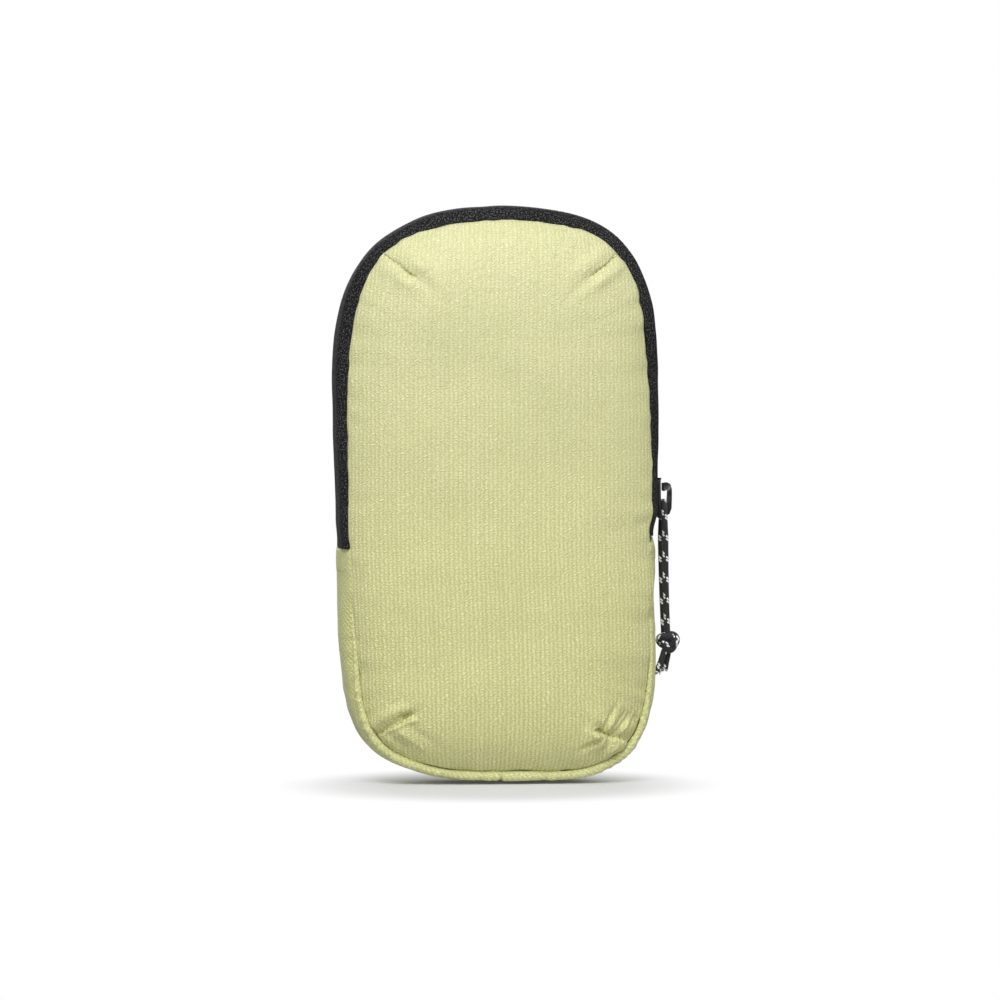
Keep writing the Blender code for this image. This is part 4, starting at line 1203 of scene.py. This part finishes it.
def makeWall():
    runs = np.concatenate([
        wallFirst + np.array([0, 0.0001, 0.00025, 0.0005, 0.0008]),
        np.linspace(wallFirst + 0.0012, wallLast - 0.0012, 460),
        wallLast - np.array([0.0008, 0.0005, 0.00025, 0.0001, 0]),
    ])
    fromEnd = np.minimum(runs - wallFirst, wallLast - runs)
    onRight = runs < halfLength
    # near the zip the wall's front edge reaches over the corded edge to the front seam
    over = 1 - ease((fromEnd - np.where(onRight, 0.018, 0.013)) / np.where(onRight, 0.010, 0.006))
    bulges = wall["bulge"] - wall["tucked"] * ease((fromEnd - 0.025) / 0.030)
    sections, pushes, skews = [], [], []
    turnIns = seamInset(runs) - 0.0001 + 0.00022 * ripple(runs, 45, 0.0016)
    sizes = pipingSize(runs)
    endInsets = np.maximum(0.0008, seamInset(runs) - 2 * sizes + 0.0005)
    endDepths = pipingDepth(sizes) - 0.85 * sizes
    long = pouch["wallDepth"] + 0.0003
    for run, near, right, reach, turnIn, bulge, endInset, endDepth in zip(
        runs, fromEnd, onRight, over, turnIns, bulges, endInsets, endDepths
    ):
        plain = np.array([
            (zipper["lean"], wallStart),
            (-bulge, endDepth * 0.35),
            (-bulge, endDepth * 0.68),
            (endInset * 0.25, endDepth * 0.87),
            (endInset * 0.6, endDepth * 0.95),
            (endInset, endDepth),
        ])
        fold = min(near / 0.019, 1)
        full = np.array([
            plain[0], plain[1], (-bulge, long * (0.46 + 0.14 * fold)),
            (turnIn * (0.22 + 0.18 * fold), long * (0.72 + 0.13 * fold)),
            (turnIn * (0.62 + 0.08 * fold), long * (0.90 + 0.05 * fold)), (turnIn, long),
        ])
        outer = rounded(plain + (full - plain) * reach, 2)
        endRound = math.sqrt(max(1 - (1 - min(near / 0.0008, 1)) ** 2, 0.02))
        loop = clothSection(outer, pouch["cloth"] * (0.35 + 0.65 * endRound))
        sections.append(loop)
        place = np.clip((loop[:, 1] - outer[0, 1]) / (outer[-1, 1] - outer[0, 1]), 0, 1)
        hem = wall["hemLift"] * ease(near / 0.0006) * (1 - ease((near - wall["hem"]) / 0.0012))
        dent = -wall["hemDent"] * math.exp(-(((near - wall["hem"]) / 0.0006) ** 2))
        atFront = (1 - 0.6 * reach) * wall["frontPucker"] * np.exp(-(1 - place) / 0.16)
        seam = atFront * float(ripple(run, 41, 0.0026))
        seam = seam + wall["backPucker"] * np.exp(-place / 0.16) * float(ripple(run, 42, 0.0034))
        soft = wall["softness"] * float(ripple(run, 43, 0.014)) * np.sin(math.pi * place)
        slant = wall["slant"] * ripple(run + place * 0.008, 44, 0.0045) * np.sin(math.pi * place)
        pushes.append((hem + dent) * np.sin(math.pi * np.clip(place, 0.04, 0.96)) ** 0.5 + seam + soft + slant)
        skews.append((0.0019 if right else 0.0008) * ease((place - 0.45) / 0.55) * (1 - ease(near / 0.008)))
    gusset = sweep("gusset", looks["limeWall"], runs, sections, push=np.array(pushes), skew=np.array(skews))
    settle(gusset, "pouch", "shell_cloth", "gusset")

    surface = BVHTree.FromPolygons([v.co for v in gusset.data.vertices], [p.vertices for p in gusset.data.polygons])
    middles, ways = [], []
    for end, way in ((wallFirst, 1), (wallLast, -1)):
        run = end + way * (wall["hem"] - wall["hemRow"])
        for depth in np.arange(0.0030, 0.0146, wall["hemPitch"]):
            start, stop = (Vector(rim(run, inset, depth)) for inset in (-0.01, 0.01))
            hit = surface.ray_cast(start, stop - start)[0]
            middles.append(hit + (stop - start).normalized() * 0.00006)
            ways.append((0.0, -1.0, 0.0))
    hemRow = stitchRow("gussetHemStitches", looks["limeThread"], middles, ways, stitch["hem"])
    settle(hemRow, "pouch", "shell_cloth")

    liningInset = pouch["cloth"] + zipper["lean"] + pouch["gap"]
    inner = rounded([
        (liningInset, 0.0066),
        (liningInset, wall["frontDepth"] * 0.7),
        (liningInset + wall["endInset"], wall["frontDepth"]),
    ])
    runs = np.linspace(wallFirst, wallLast, 260)
    lining = sweep("gussetLining", looks["lining"], runs, clothSection(inner, pouch["lining"]))
    settle(lining, "pouch", "lining_cloth", "gusset_lining")


def makePiping():
    lap = halfLength - wall["lapX"]
    turns = np.arange(20) / 20 * math.tau
    front = np.clip(np.sin(turns + 0.5), 0, 1)[None]
    for word, first, last in (("Right", wallFirst, lap + 0.0012), ("Left", lap - 0.0004, wallLast)):
        onRight = word == "Right"
        runs = np.linspace(first, last, int((last - first) / 0.00028))
        fromLap = np.abs(runs - lap)
        lapped = 1 - ease((fromLap - 0.0070) / 0.004) if onRight else 0 * runs
        tucked = 0 * runs if onRight else 1 - ease((fromLap - 0.0010) / 0.0022)
        fromZip = np.minimum(runs - wallFirst, wallLast - runs)
        hidden = 1 - ease((fromZip - (0.019 if onRight else 0.014)) / 0.012)
        fromEnd = np.clip(np.minimum(runs - first, last - runs) / 0.0007, 0, 1)
        endRound = np.sqrt(np.clip(1 - (1 - fromEnd) ** 2, 0.05, 1))
        slant = runs[:, None] + 0.00055 * turns[None]
        fine = 0.75 * ripple(slant, 51, 0.0011) + 0.5 * ripple(slant, 52, 0.0023) + 0.35 * ripple(slant, 53, 0.0062)
        size = pipingSize(runs)
        centre = (pipingDepth(size) - 0.0005 * hidden - 0.0003 * tucked)[:, None]
        size = size * (1.0 + 0.04 * lapped - 0.12 * tucked - 0.35 * hidden) * endRound
        wrinkle = np.minimum(wall["wrinkle"], 0.26 * size) * (1 - 0.75 * lapped)
        radius = size[:, None] + wrinkle[:, None] * fine * (0.3 + 0.7 * front)
        middle = (seamInset(runs) - size * 1.02 + 0.0003 * (1 - ease((size - 0.0004) / 0.0006)))[:, None]
        inset = middle - radius * np.cos(turns)[None] * 1.02
        depth = centre + radius * np.sin(turns)[None] * 0.95
        piping = sweep(f"piping{word}", looks["edging"], runs, np.stack([inset, depth], axis=-1), smoothAngle=70)
        settle(piping, "pouch", "edging_cloth", f"piping_{word.lower()}")


makeWall()
makePiping()
print("lower wall and corded edge made")


# Back: outer cloth, foam and lining, and the binding round the inside of the seam
back = {
    "foamDepth": 0.0011,
    "foam": 0.0024,
    "liningDepth": 0.0042,
    "bindingDepth": 0.0047,
    "bindingHalfWidth": 0.00125,
    "bindingHalfDepth": 0.0005,
    "bindingStitches": 210,
    "edgeRoll": 0.0006,
    "gather": 0.00022,
    "hills": 0.00010,
    "foamRoll": 0.0004,
    "liningHills": 0.00008,
}


def flatRings(inset, rings, around):
    runs = np.arange(around) / around * perimeter
    edge = plainRim(runs, inset, 0.0)
    spine = np.zeros_like(edge)
    spine[:, 2] = np.clip(edge[:, 2], front["spineBottom"], front["spineTop"])
    spine[:, 2] = (spine[:, 2] + np.roll(spine[::-1, 2], 1)) / 2
    shares = (np.arange(rings + 1) / rings) ** 1.3
    spots = edge[:, None] + (spine - edge)[:, None] * shares[None, :, None]
    reach = np.linalg.norm(edge - spine, axis=1)[:, None] * shares[None]
    return runs, lean(spots), reach


def flatCloth(name, look, spots, thickness, slot, node):
    uvs = spots[..., (0, 2)]
    piece = gridMesh(name, spots, np.concatenate([uvs, uvs[:1]]), look, True, False, (0, 1, 0), 80)
    giveThickness(piece, thickness)
    return settle(piece, "pouch", slot, node)


def makeBack():
    runs, spots, reach = flatRings(zipper["lean"] + 0.0004, 30, 360)
    x, z = spots[..., 0], spots[..., 2]
    roll = back["edgeRoll"] * (1 - ease(reach / 0.0022)) ** 2
    gather = back["gather"] * np.exp(-reach / 0.0030) * (ripple(runs, 61, perimeter / 130)[:, None] - 1)
    hills = back["hills"] * (1 + 0.5 * billow(x, z, 62, 0.03)) * np.clip(reach / 0.02, 0, 1)
    spots[..., 1] = np.minimum(gather - roll - hills, 0.0)
    panel = flatCloth("backPanel", looks["lime"], spots, pouch["cloth"], "shell_cloth", "back_panel_outer")

    wallInset = pouch["cloth"] + 2 * zipper["lean"] + pouch["gap"]
    runs, spots, reach = flatRings(wallInset, 18, 220)
    spots[..., 1] = -back["foamDepth"] - back["foamRoll"] * (1 - ease(reach / 0.003))
    foam = flatCloth("backFoam", looks["foam"], spots, back["foam"], "padding_foam", "back_foam")
    hills = back["liningHills"] * (1 + billow(spots[..., 0], spots[..., 2], 64, 0.02))
    spots[..., 1] = -back["liningDepth"] - hills
    lining = flatCloth("backLining", looks["lining"], spots, pouch["lining"], "lining_cloth", "back_lining")

    inset = wallInset + 0.0005 + 0.00065
    depth = back["bindingDepth"] + pouch["gap"]
    section = []
    for turn in np.arange(20) / 20 * math.tau:
        a = abs(math.cos(turn)) ** 0.35 * math.copysign(1, math.cos(turn))
        b = abs(math.sin(turn)) ** 0.6 * math.copysign(1, math.sin(turn))
        section.append((inset + back["bindingHalfWidth"] * (1 + a), depth + back["bindingHalfDepth"] * (1 + b)))
    runs = np.arange(420) / 420 * perimeter
    soft = 0.00007 * ripple(runs, 66, perimeter / 210)[:, None]
    binding = sweep("backSeamBinding", looks["binding"], runs, section, loop=True, push=soft)
    settle(binding, "pouch", "lining_cloth", "back_seam_binding")
    places = np.arange(back["bindingStitches"]) / back["bindingStitches"] * perimeter
    spots = rim(places, inset + 0.0016, depth + 0.00102)
    row = stitchRow("bindingStitches", looks["thread"], spots, waysRound(places), stitch["long"], 0.00013)
    settle(row, "pouch", "lining_cloth")


makeBack()
print("back made")

# Straps behind: webbing with sewn ends, hook and loop, bar tacks
strap = {
    "width": 0.025,
    "thick": 0.0014,
    "upperZ": 0.047,
    "lowerZ": -0.042,
    "padX": 0.024,
    "turnX": 0.038,
    "turnRadius": 0.0063,
    "overlap": 0.014,
    "patch": 0.0010,
    "margin": 0.0015,
    "step": 0.0007,
    "tackIn": 0.0040,
    "tackTurns": 60,
    "tackHalfWidth": 0.0009,
    "tackThread": 0.00021,
    "hookBed": 0.00045,
    "hookMargin": 0.0006,
}
padY = pouch["gap"] + strap["thick"] / 2
turnY = padY + strap["turnRadius"]
runY = turnY + strap["turnRadius"]
loopLow = runY + strap["thick"] / 2 + pouch["gap"]
hookLow = loopLow + strap["patch"] + pouch["gap"]
flapY = hookLow + strap["patch"] + pouch["gap"] + strap["thick"] / 2
flapRadius = flapY - turnY


def arcPath(cx, cy, rx, ry, first, last, steps):
    turns = np.linspace(first, last, steps)
    return np.column_stack([cx + rx * np.cos(turns), cy + ry * np.sin(turns)])


def evenly(path, step):
    path = np.asarray(path, float)
    far = np.concatenate([[0.0], np.cumsum(np.linalg.norm(np.diff(path, axis=0), axis=1))])
    places = np.linspace(0, far[-1], max(int(far[-1] / step), 4))
    return np.column_stack([np.interp(places, far, path[:, k]) for k in (0, 1)])


def band(name, look, path, middleZ, seed):
    # webbing along an (x, y) line, its broad faces ribbed by the weave
    width, thick, step = strap["width"], strap["thick"], strap["step"]
    path = evenly(path, step)
    ways = waysAlong(path)
    normals = np.column_stack([-ways[:, 1], ways[:, 0]])
    half = 11
    flats = np.linspace(-1, 1, half)
    across = np.concatenate([flats, [1.0, 1.0], flats[::-1], [-1.0, -1.0]])
    out = np.concatenate([np.ones(half), [0.5, -0.5], -np.ones(half), [-0.5, 0.5]])
    edge = np.where(np.abs(across) > 0.99, 0.72, 1.0)
    grow = np.where((np.abs(across) > 0.99) & (np.abs(out) < 0.9), 1.008, 0.992)
    runs = np.arange(len(path)) * step
    ends = np.sqrt(np.clip(1 - (1 - np.clip(np.minimum(runs, runs[-1] - runs) / 0.0006, 0, 1)) ** 2, 0.1, 1))
    wave = 1 + 0.02 * ripple(runs, seed, 0.004)
    lift = (thick / 2) * out[None] * edge[None] * ends[:, None] * wave[:, None]
    z = middleZ + across[None] * grow[None] * width / 2 * (1 - 0.01 * (1 - ends))[:, None]
    flat = path[:, None] + normals[:, None] * lift[..., None]
    spots = np.concatenate([flat, z[..., None]], axis=-1)
    girth = np.concatenate([[0], np.cumsum(np.hypot(np.diff(across) * width / 2, np.diff(out) * thick / 2)), [0]])
    girth[-1] = girth[-2] + thick / 2
    uvs = np.stack(np.broadcast_arrays(runs[:, None], girth[None]), axis=-1)
    return gridMesh(name, spots, uvs, look, False, True, smoothAngle=40)


def barTack(name, x, y, middleZ, reach):
    # close zigzag of thread across the strap
    count = strap["tackTurns"]
    side = np.where(np.arange(count) % 2 == 0, -1, 1) * strap["tackHalfWidth"]
    z = np.linspace(middleZ - reach, middleZ + reach, count)
    path = np.repeat(np.column_stack([x + side, np.full(count, y), z]), 2, axis=0)
    path[0::2, 2] -= 0.00005
    path[1::2, 2] += 0.00005
    return tube(name, looks["thread"], path, strap["tackThread"], 6, lead=(0, 1, 0))


def patch(name, look, x, low, high, middleZ, reach, seed, rough):
    # a soft-edged patch whose working face is uneven
    columns, rows = 44, 36
    u = np.linspace(-1, 1, columns)[:, None]
    v = np.linspace(-1, 1, rows)[None]
    px, pz = u * x + 0 * v, middleZ + v * reach + 0 * u
    edge = np.minimum(1 - np.abs(u), 1 - np.abs(v))
    rolled = ease(np.clip(edge / 0.06, 0, 1)) ** 0.5
    bumps = rough * (0.6 * billow(px, pz, seed, 0.0016) + 0.4 * billow(px, pz, seed + 1, 0.004))
    top = low + (high - low) * (0.35 + 0.55 * rolled) + bumps * rolled
    top = np.minimum(top, high)
    spots = np.stack([px, top, pz], axis=-1)
    upper = gridMesh(name, spots, np.stack([px, pz], axis=-1), look, facing=(0, 1, 0), smoothAngle=60)
    bm = bmesh.new()
    bm.from_mesh(upper.data)
    rimEdges = [e for e in bm.edges if e.is_boundary]
    grown = bmesh.ops.extrude_edge_only(bm, edges=rimEdges)["geom"]
    for vert in (g for g in grown if isinstance(g, bmesh.types.BMVert)):
        vert.co.y = low
    bmesh.ops.holes_fill(bm, edges=[e for e in bm.edges if e.is_boundary], sides=0)
    bmesh.ops.recalc_face_normals(bm, faces=bm.faces)
    bm.to_mesh(upper.data)
    bm.free()
    return upper


def hooks(name, look, x, base, middleZ, reach):
    # rows of small bent hooks standing on the hook tape; sideways, out and half thickness at each bend
    columns, rows = 20, 16
    bends = (
        (0, 0, 0.00012), (0, -0.00022, 0.00011), (0.00006, -0.00038, 0.00010), (0.00018, -0.00042, 0.00008),
        (0.00024, -0.00034, 0.00006),
    )
    corners = ((-1, -1), (1, -1), (1, 1), (-1, 1))
    bodies, centres = [], []
    for i in range(columns):
        for j in range(rows):
            flip = 1 if (i + j) % 2 else -1
            cx = -x + 2 * x * (i + 0.5) / columns
            cz = middleZ - reach + 2 * reach * (j + 0.5) / rows
            centres.append((cx, cz))
            rings = []
            for out, rise, size in bends:
                rings.append([(cx + flip * out + a * size, base + rise, cz + b * size) for a, b in corners])
            bodies.append(rings)
    return ringBodies(name, look, bodies, lambda body, corner, ring: centres[body], smooth=False)


def makeStraps():
    radius, turnX, overlap = strap["turnRadius"], strap["turnX"], strap["overlap"]
    reach = strap["width"] / 2 - strap["margin"]
    patchX = overlap - strap["margin"]
    bed, margin = hookLow + strap["hookBed"], strap["hookMargin"]
    quarter = math.pi / 2
    # the three lengths of webbing that make one strap, and the body that each rides
    bands = (
        ("Base", "pouch", [[(-strap["padX"], padY)], arcPath(-turnX, turnY, radius, radius, -quarter, -3 * quarter, 24),
                           [(overlap, runY)]]),
        ("Anchor", "pouch", [[(strap["padX"], padY)], arcPath(turnX, turnY, radius, radius, -quarter, -0.03, 14)]),
        ("Flap", "", [arcPath(turnX, turnY, radius, flapRadius, 0.03, quarter, 14), [(-overlap, flapY)]]),
    )
    for word, middleZ, seed in (("Upper", strap["upperZ"], 71), ("Lower", strap["lowerZ"], 81)):
        low = word.lower()
        flapBody = f"{low}_flap"
        for number, (end, body, path) in enumerate(bands):
            made = band(f"strap{word}{end}", looks["webbing"], np.concatenate(path), middleZ, seed + number)
            settle(made, body or flapBody, "webbing", f"strap_{low}_{end.lower()}")
        place = (middleZ, reach)
        loops = patch(
            f"strap{word}LoopPatch", looks["loopPile"], patchX, loopLow, loopLow + strap["patch"], *place, seed, 0.00012
        )
        settle(loops, "pouch", "hook_and_loop", f"strap_{low}_loop_patch")
        plate = patch(
            f"strap{word}HookPatch", looks["hookBase"], patchX, bed, hookLow + strap["patch"],
            *place, seed + 3, 0.00002,
        )
        barbs = hooks("barbs", looks["nylon"], patchX - margin, bed + 0.00001, middleZ, reach - margin)
        hookPatch = joinPieces(f"strap{word}HookPatch", [plate, barbs])
        settle(hookPatch, flapBody, "hook_and_loop", f"strap_{low}_hook_patch")
        for side, end in ((-1, "Base"), (1, "Anchor")):
            tackX = side * (strap["padX"] + strap["tackIn"])
            tack = barTack(f"strap{word}{end}Tack", tackX, padY + strap["thick"] / 2 + 0.0003, *place)
            settle(tack, "pouch", "cord", f"strap_{low}_{end.lower()}_tack")


makeStraps()
print("straps made")


# Slider and stops, cast metal, shaped from blocks
def startBlock(name, low, high):
    low, high = Vector(low), Vector(high)
    bpy.ops.mesh.primitive_cube_add(size=1, location=(low + high) / 2)
    block = bpy.context.active_object
    block.name = name
    block.scale = high - low
    bpy.ops.object.transform_apply(location=True, rotation=True, scale=True)
    return block


def pickFaces(block, test):
    bpy.ops.object.mode_set(mode="OBJECT")
    mesh = block.data
    for part in (mesh.vertices, mesh.edges):
        part.foreach_set("select", [False] * len(part))
    for face in mesh.polygons:
        face.select = bool(test(face.center, face.normal))
    bpy.ops.object.mode_set(mode="EDIT")
    bpy.ops.mesh.select_mode(type="FACE")


def extrudeTo(middle, move, scale=(1, 1, 1), turn=0.0):
    # pushes the picked face on by move, then turns and sizes it about its new middle
    middle = Vector(middle) + Vector(move)
    bpy.ops.mesh.extrude_region_move(TRANSFORM_OT_translate={"value": tuple(move)})
    if turn:
        bpy.ops.transform.rotate(value=turn, orient_axis="Y", center_override=middle)
    bpy.ops.transform.resize(value=scale, center_override=middle)
    return middle


def finishBlock(block, look, bevel, segments=2):
    bpy.ops.object.mode_set(mode="OBJECT")
    rounding = block.modifiers.new("rounding", "BEVEL")
    rounding.width = bevel
    rounding.segments = segments
    rounding.limit_method = "ANGLE"
    rounding.angle_limit = math.radians(25)
    applyAll(block)
    block.data.materials.clear()
    block.data.materials.append(look)
    bpy.ops.object.shade_smooth_by_angle(angle=math.radians(38))
    return block


def makePlate(name, lowX, highX, lip):
    nose, tail = slider["noseHalfWidth"], slider["tailHalfWidth"]
    waist = noseZ + slider["length"] * slider["waist"]
    low = noseZ + slider["noseStep"]
    plate = startBlock(name, (lowX, cordY - nose, low), (highX, cordY + nose, waist))
    middleX = (lowX + highX) / 2
    pickFaces(plate, lambda spot, way: way.z > 0.9)
    middle = extrudeTo((middleX, cordY, waist), (0, 0, 0.0030), (1, (nose + tail) / 2 / nose, 1))
    middle = extrudeTo(middle, (0, 0, tailZ - slider["tailStep"] - middle.z), (1, tail * 2 / (nose + tail), 1))
    extrudeTo(middle, (lip, 0, slider["tailStep"]), (1, 0.78, 1))
    pickFaces(plate, lambda spot, way: way.z < -0.9)
    middle = extrudeTo((middleX, cordY, low), (lip * 0.4, 0, -0.0008), (1, 0.93, 1))
    extrudeTo(middle, (lip * 0.4, 0, -0.0004), (1, 0.72, 1))
    return plate


def makeSlider():
    nose, tail = slider["noseHalfWidth"], slider["tailHalfWidth"]
    outerLow = pouch["topHalfWidth"] + pouch["gap"]
    lowerTop = pouch["topHalfWidth"] - zipper["tape"] - zipper["coilHeight"] - 2 * pouch["gap"]
    waist = noseZ + slider["length"] * slider["waist"]
    top = finishBlock(makePlate("sliderTop", outerLow, plateX, 0.00035), looks["cast"], 0.00022, 3)
    under = finishBlock(makePlate("sliderUnder", lowerTop - slider["plate"], lowerTop, -0.0002), looks["cast"], 0.0002)
    parts = [under]
    for side in (-1, 1):
        a, b = sorted((cordY + side * nose, cordY + side * (nose - slider["rail"])))
        low = noseZ + slider["noseStep"]
        rail = startBlock("sliderRail", (lowerTop - 0.0003, a, low), (slider["railX"], b, waist))
        pickFaces(rail, lambda spot, way: way.z > 0.9)
        extrudeTo((0, 0, 0), (0, -side * (nose - tail), tailZ - 0.0012 - waist))
        parts.append(finishBlock(rail, looks["cast"], 0.00015))
    spot = (slider["neckX"], cordY, noseZ + slider["neckRise"])
    bpy.ops.mesh.primitive_cylinder_add(
        vertices=4, radius=1, depth=slider["neckLength"], location=spot, rotation=(0, math.pi / 2, 0)
    )
    neck = bpy.context.active_object
    neck.scale = slider["neckSize"]
    bpy.ops.object.transform_apply(location=True, rotation=True, scale=True)
    parts.append(finishBlock(neck, looks["cast"], 0.0001))

    # the crown is drawn out of its foot: out, up, over and down to a thick nose
    rootHalf = slider["root"] / 2
    crown = startBlock(
        "sliderCrown",
        (plateX - 0.0004, cordY - slider["crownHalfWidth"], crownLow),
        (plateX + 0.0016, cordY + slider["crownHalfWidth"], crownLow + slider["root"]),
    )
    pickFaces(crown, lambda spot, way: way.x > 0.9)
    spot = Vector((plateX + 0.0016, cordY, crownLow + rootHalf))
    legX = plateX + slider["window"] + slider["bar"] / 2
    barHalf = slider["bar"] / 2
    noseHalf = slider["nose"] / 2
    stations = (
        (legX - 0.0008, crownLow + rootHalf + 0.0003, 28, rootHalf * 0.90),
        (legX - 0.0003, crownLow + rootHalf + 0.0012, 60, barHalf * 1.45),
        (legX - 0.0001, crownLow + 0.0046, 85, barHalf * 1.08),
        (legX, crownHigh - 0.0034, 90, barHalf),
        (legX - 0.0001, crownHigh - 0.0022, 100, barHalf * 1.05),
        (legX - 0.0005, crownHigh - 0.0014, 135, barHalf * 1.5),
        (legX - 0.0011, crownHigh - noseHalf, 170, noseHalf * 0.96),
        (plateX + 0.0012, crownHigh - noseHalf - 0.0001, 180, noseHalf),
        (plateX + 0.0007, crownHigh - noseHalf - 0.0001, 180, noseHalf * 0.88),
    )
    turned, size = 0.0, rootHalf
    for x, z, degrees, halfSize in stations:
        turn, grow = math.radians(degrees), halfSize / size
        spot = extrudeTo(spot, (x - spot.x, 0, z - spot.z), (grow, 1, grow), turn - turned)
        turned, size = turn, halfSize
    parts.append(finishBlock(crown, looks["cast"], 0.00026, 3))
    for part in parts:
        union = top.modifiers.new("union", "BOOLEAN")
        union.operation = "UNION"
        union.solver = "EXACT"
        union.object = part
    applyAll(top)
    for part in parts:
        bpy.data.objects.remove(part, do_unlink=True)
    top.name = top.data.name = "zipSlider"
    pick(top)
    bpy.ops.object.shade_smooth_by_angle(angle=math.radians(38))
    settle(top, "slider", "slider_metal", "zip_slider")


def makeStops():
    inset = zipper["tape"] + pouch["gap"] + zipper["coilHeight"] + pouch["gap"]
    for side, word in ((-1, "Left"), (1, "Right")):
        outer = side * (pouch["topHalfWidth"] - inset)
        low = pouch["zipEndZ"] + 0.0010
        a, b = sorted((outer, outer - side * slider["stopThick"]))
        reach = slider["stopHalfWidth"]
        corners = (a, cordY - reach, low), (b, cordY + reach, low + slider["stopHeight"])
        stop = startBlock(f"zipStop{word}", *corners)
        pickFaces(stop, lambda spot, way: way.x * side < -0.9)
        bpy.ops.mesh.inset(thickness=0.0003, depth=0)
        bpy.ops.transform.translate(value=(-side * 0.00012, 0, 0))
        finishBlock(stop, looks["cast"], 0.00022, 3)
        settle(stop, "pouch", "slider_metal", f"zip_stop_{word.lower()}")


makeSlider()
makeStops()
print("slider and stops made")

# Floor, lamps and world
studio = {
    "floorZ": -0.0906,
    "ambient": 0.18,
    "front": 0.62,
    "key": 9.6,
    "fill": 0.8,
    "back": 5.0,
    # the shaded patch on the floor: its squash and shift, and where it starts and stops to fade
    "patchSquash": (0.85, 1, 0),
    "patchShift": (0, 0.022, 0),
    "patchFade": (0.022, 0.062),
    "shadow": (0.65, 0.65, 0.68),
    "paper": (0.42, 0.42, 0.42),
}


def makeFloor():
    bpy.ops.mesh.primitive_plane_add(size=12, location=(0, 0, studio["floorZ"]))
    floor = bpy.context.active_object
    floor.name = "floor"
    bpy.ops.object.transform_apply(location=True, rotation=False, scale=True)
    made, tree = startMaterial("paleFloor", 0.9, specular=0.0)
    surface = tree.nodes["Principled BSDF"]
    # shaded only close to the pouch's foot, and plain white to the camera beyond
    shift = {0: placeMap(tree), 1: studio["patchSquash"], 2: studio["patchShift"]}
    shifted = addNode(tree, "VectorMath", shift, operation="MULTIPLY_ADD")[0]
    away = fade(addNode(tree, "VectorMath", {0: shifted}, operation="LENGTH")["Value"], *studio["patchFade"])
    plug(blendColours(away, studio["shadow"], studio["paper"]), surface.inputs["Base Color"])
    seen = addNode(tree, "LightPath")["Is Camera Ray"]
    glow = addNode(tree, "Emission", {"Color": (1, 1, 1), "Strength": seen})[0]
    lift = addNode(tree, "Emission", {"Color": (1, 1, 1), "Strength": seen * 0.05})[0]
    lit = addNode(tree, "AddShader", {0: Value(tree, surface.outputs[0]), 1: lift})[0]
    plug(addNode(tree, "MixShader", {0: away * seen, 1: lit, 2: glow})[0], tree.nodes["Material Output"].inputs[0])
    floor.data.materials.append(made)


def makeLamp(name, place, aim, size, power):
    data = bpy.data.lights.new(name, "AREA")
    data.shape = "RECTANGLE"
    data.size, data.size_y = size
    data.energy = power
    lamp = bpy.data.objects.new(name, data)
    lamp.location = place
    lamp.rotation_euler = (Vector(aim) - Vector(place)).to_track_quat("-Z", "Y").to_euler()
    bpy.context.scene.collection.objects.link(lamp)


def makeWorld():
    world = bpy.data.worlds.new("studio")
    bpy.context.scene.world = world
    world.use_nodes = True
    tree = world.node_tree
    shell = tree.nodes["Background"]
    shell.inputs["Color"].default_value = (1, 1, 1, 1)
    rays = addNode(tree, "LightPath")
    seen = rays["Is Camera Ray"].join("MAXIMUM", rays["Is Transmission Ray"]).join("MAXIMUM", rays["Is Glossy Ray"])
    # a pale room that is brighter in front and above than at the sides
    toward = {0: addNode(tree, "TexCoord")["Generated"], 1: (0.05, -0.90, 0.43)}
    facing = addNode(tree, "VectorMath", toward, operation="DOT_PRODUCT")["Value"]
    room = fade(facing, -0.1, 1.0) * studio["front"] + studio["ambient"]
    plug(room + (1.0 - room) * seen, shell.inputs["Strength"])


makeFloor()
makeWorld()
makeLamp("key", (-0.20, -0.80, 0.85), (0, 0, 0.01), (0.7, 0.5), studio["key"])
makeLamp("fill", (0.75, -0.8, 0.25), (0, 0, 0), (0.6, 0.6), studio["fill"])
makeLamp("back", (0.0, 1.0, 0.35), (0, 0, 0), (0.8, 0.6), studio["back"])
bpy.context.scene.view_settings.view_transform = "Standard"
print("studio made")
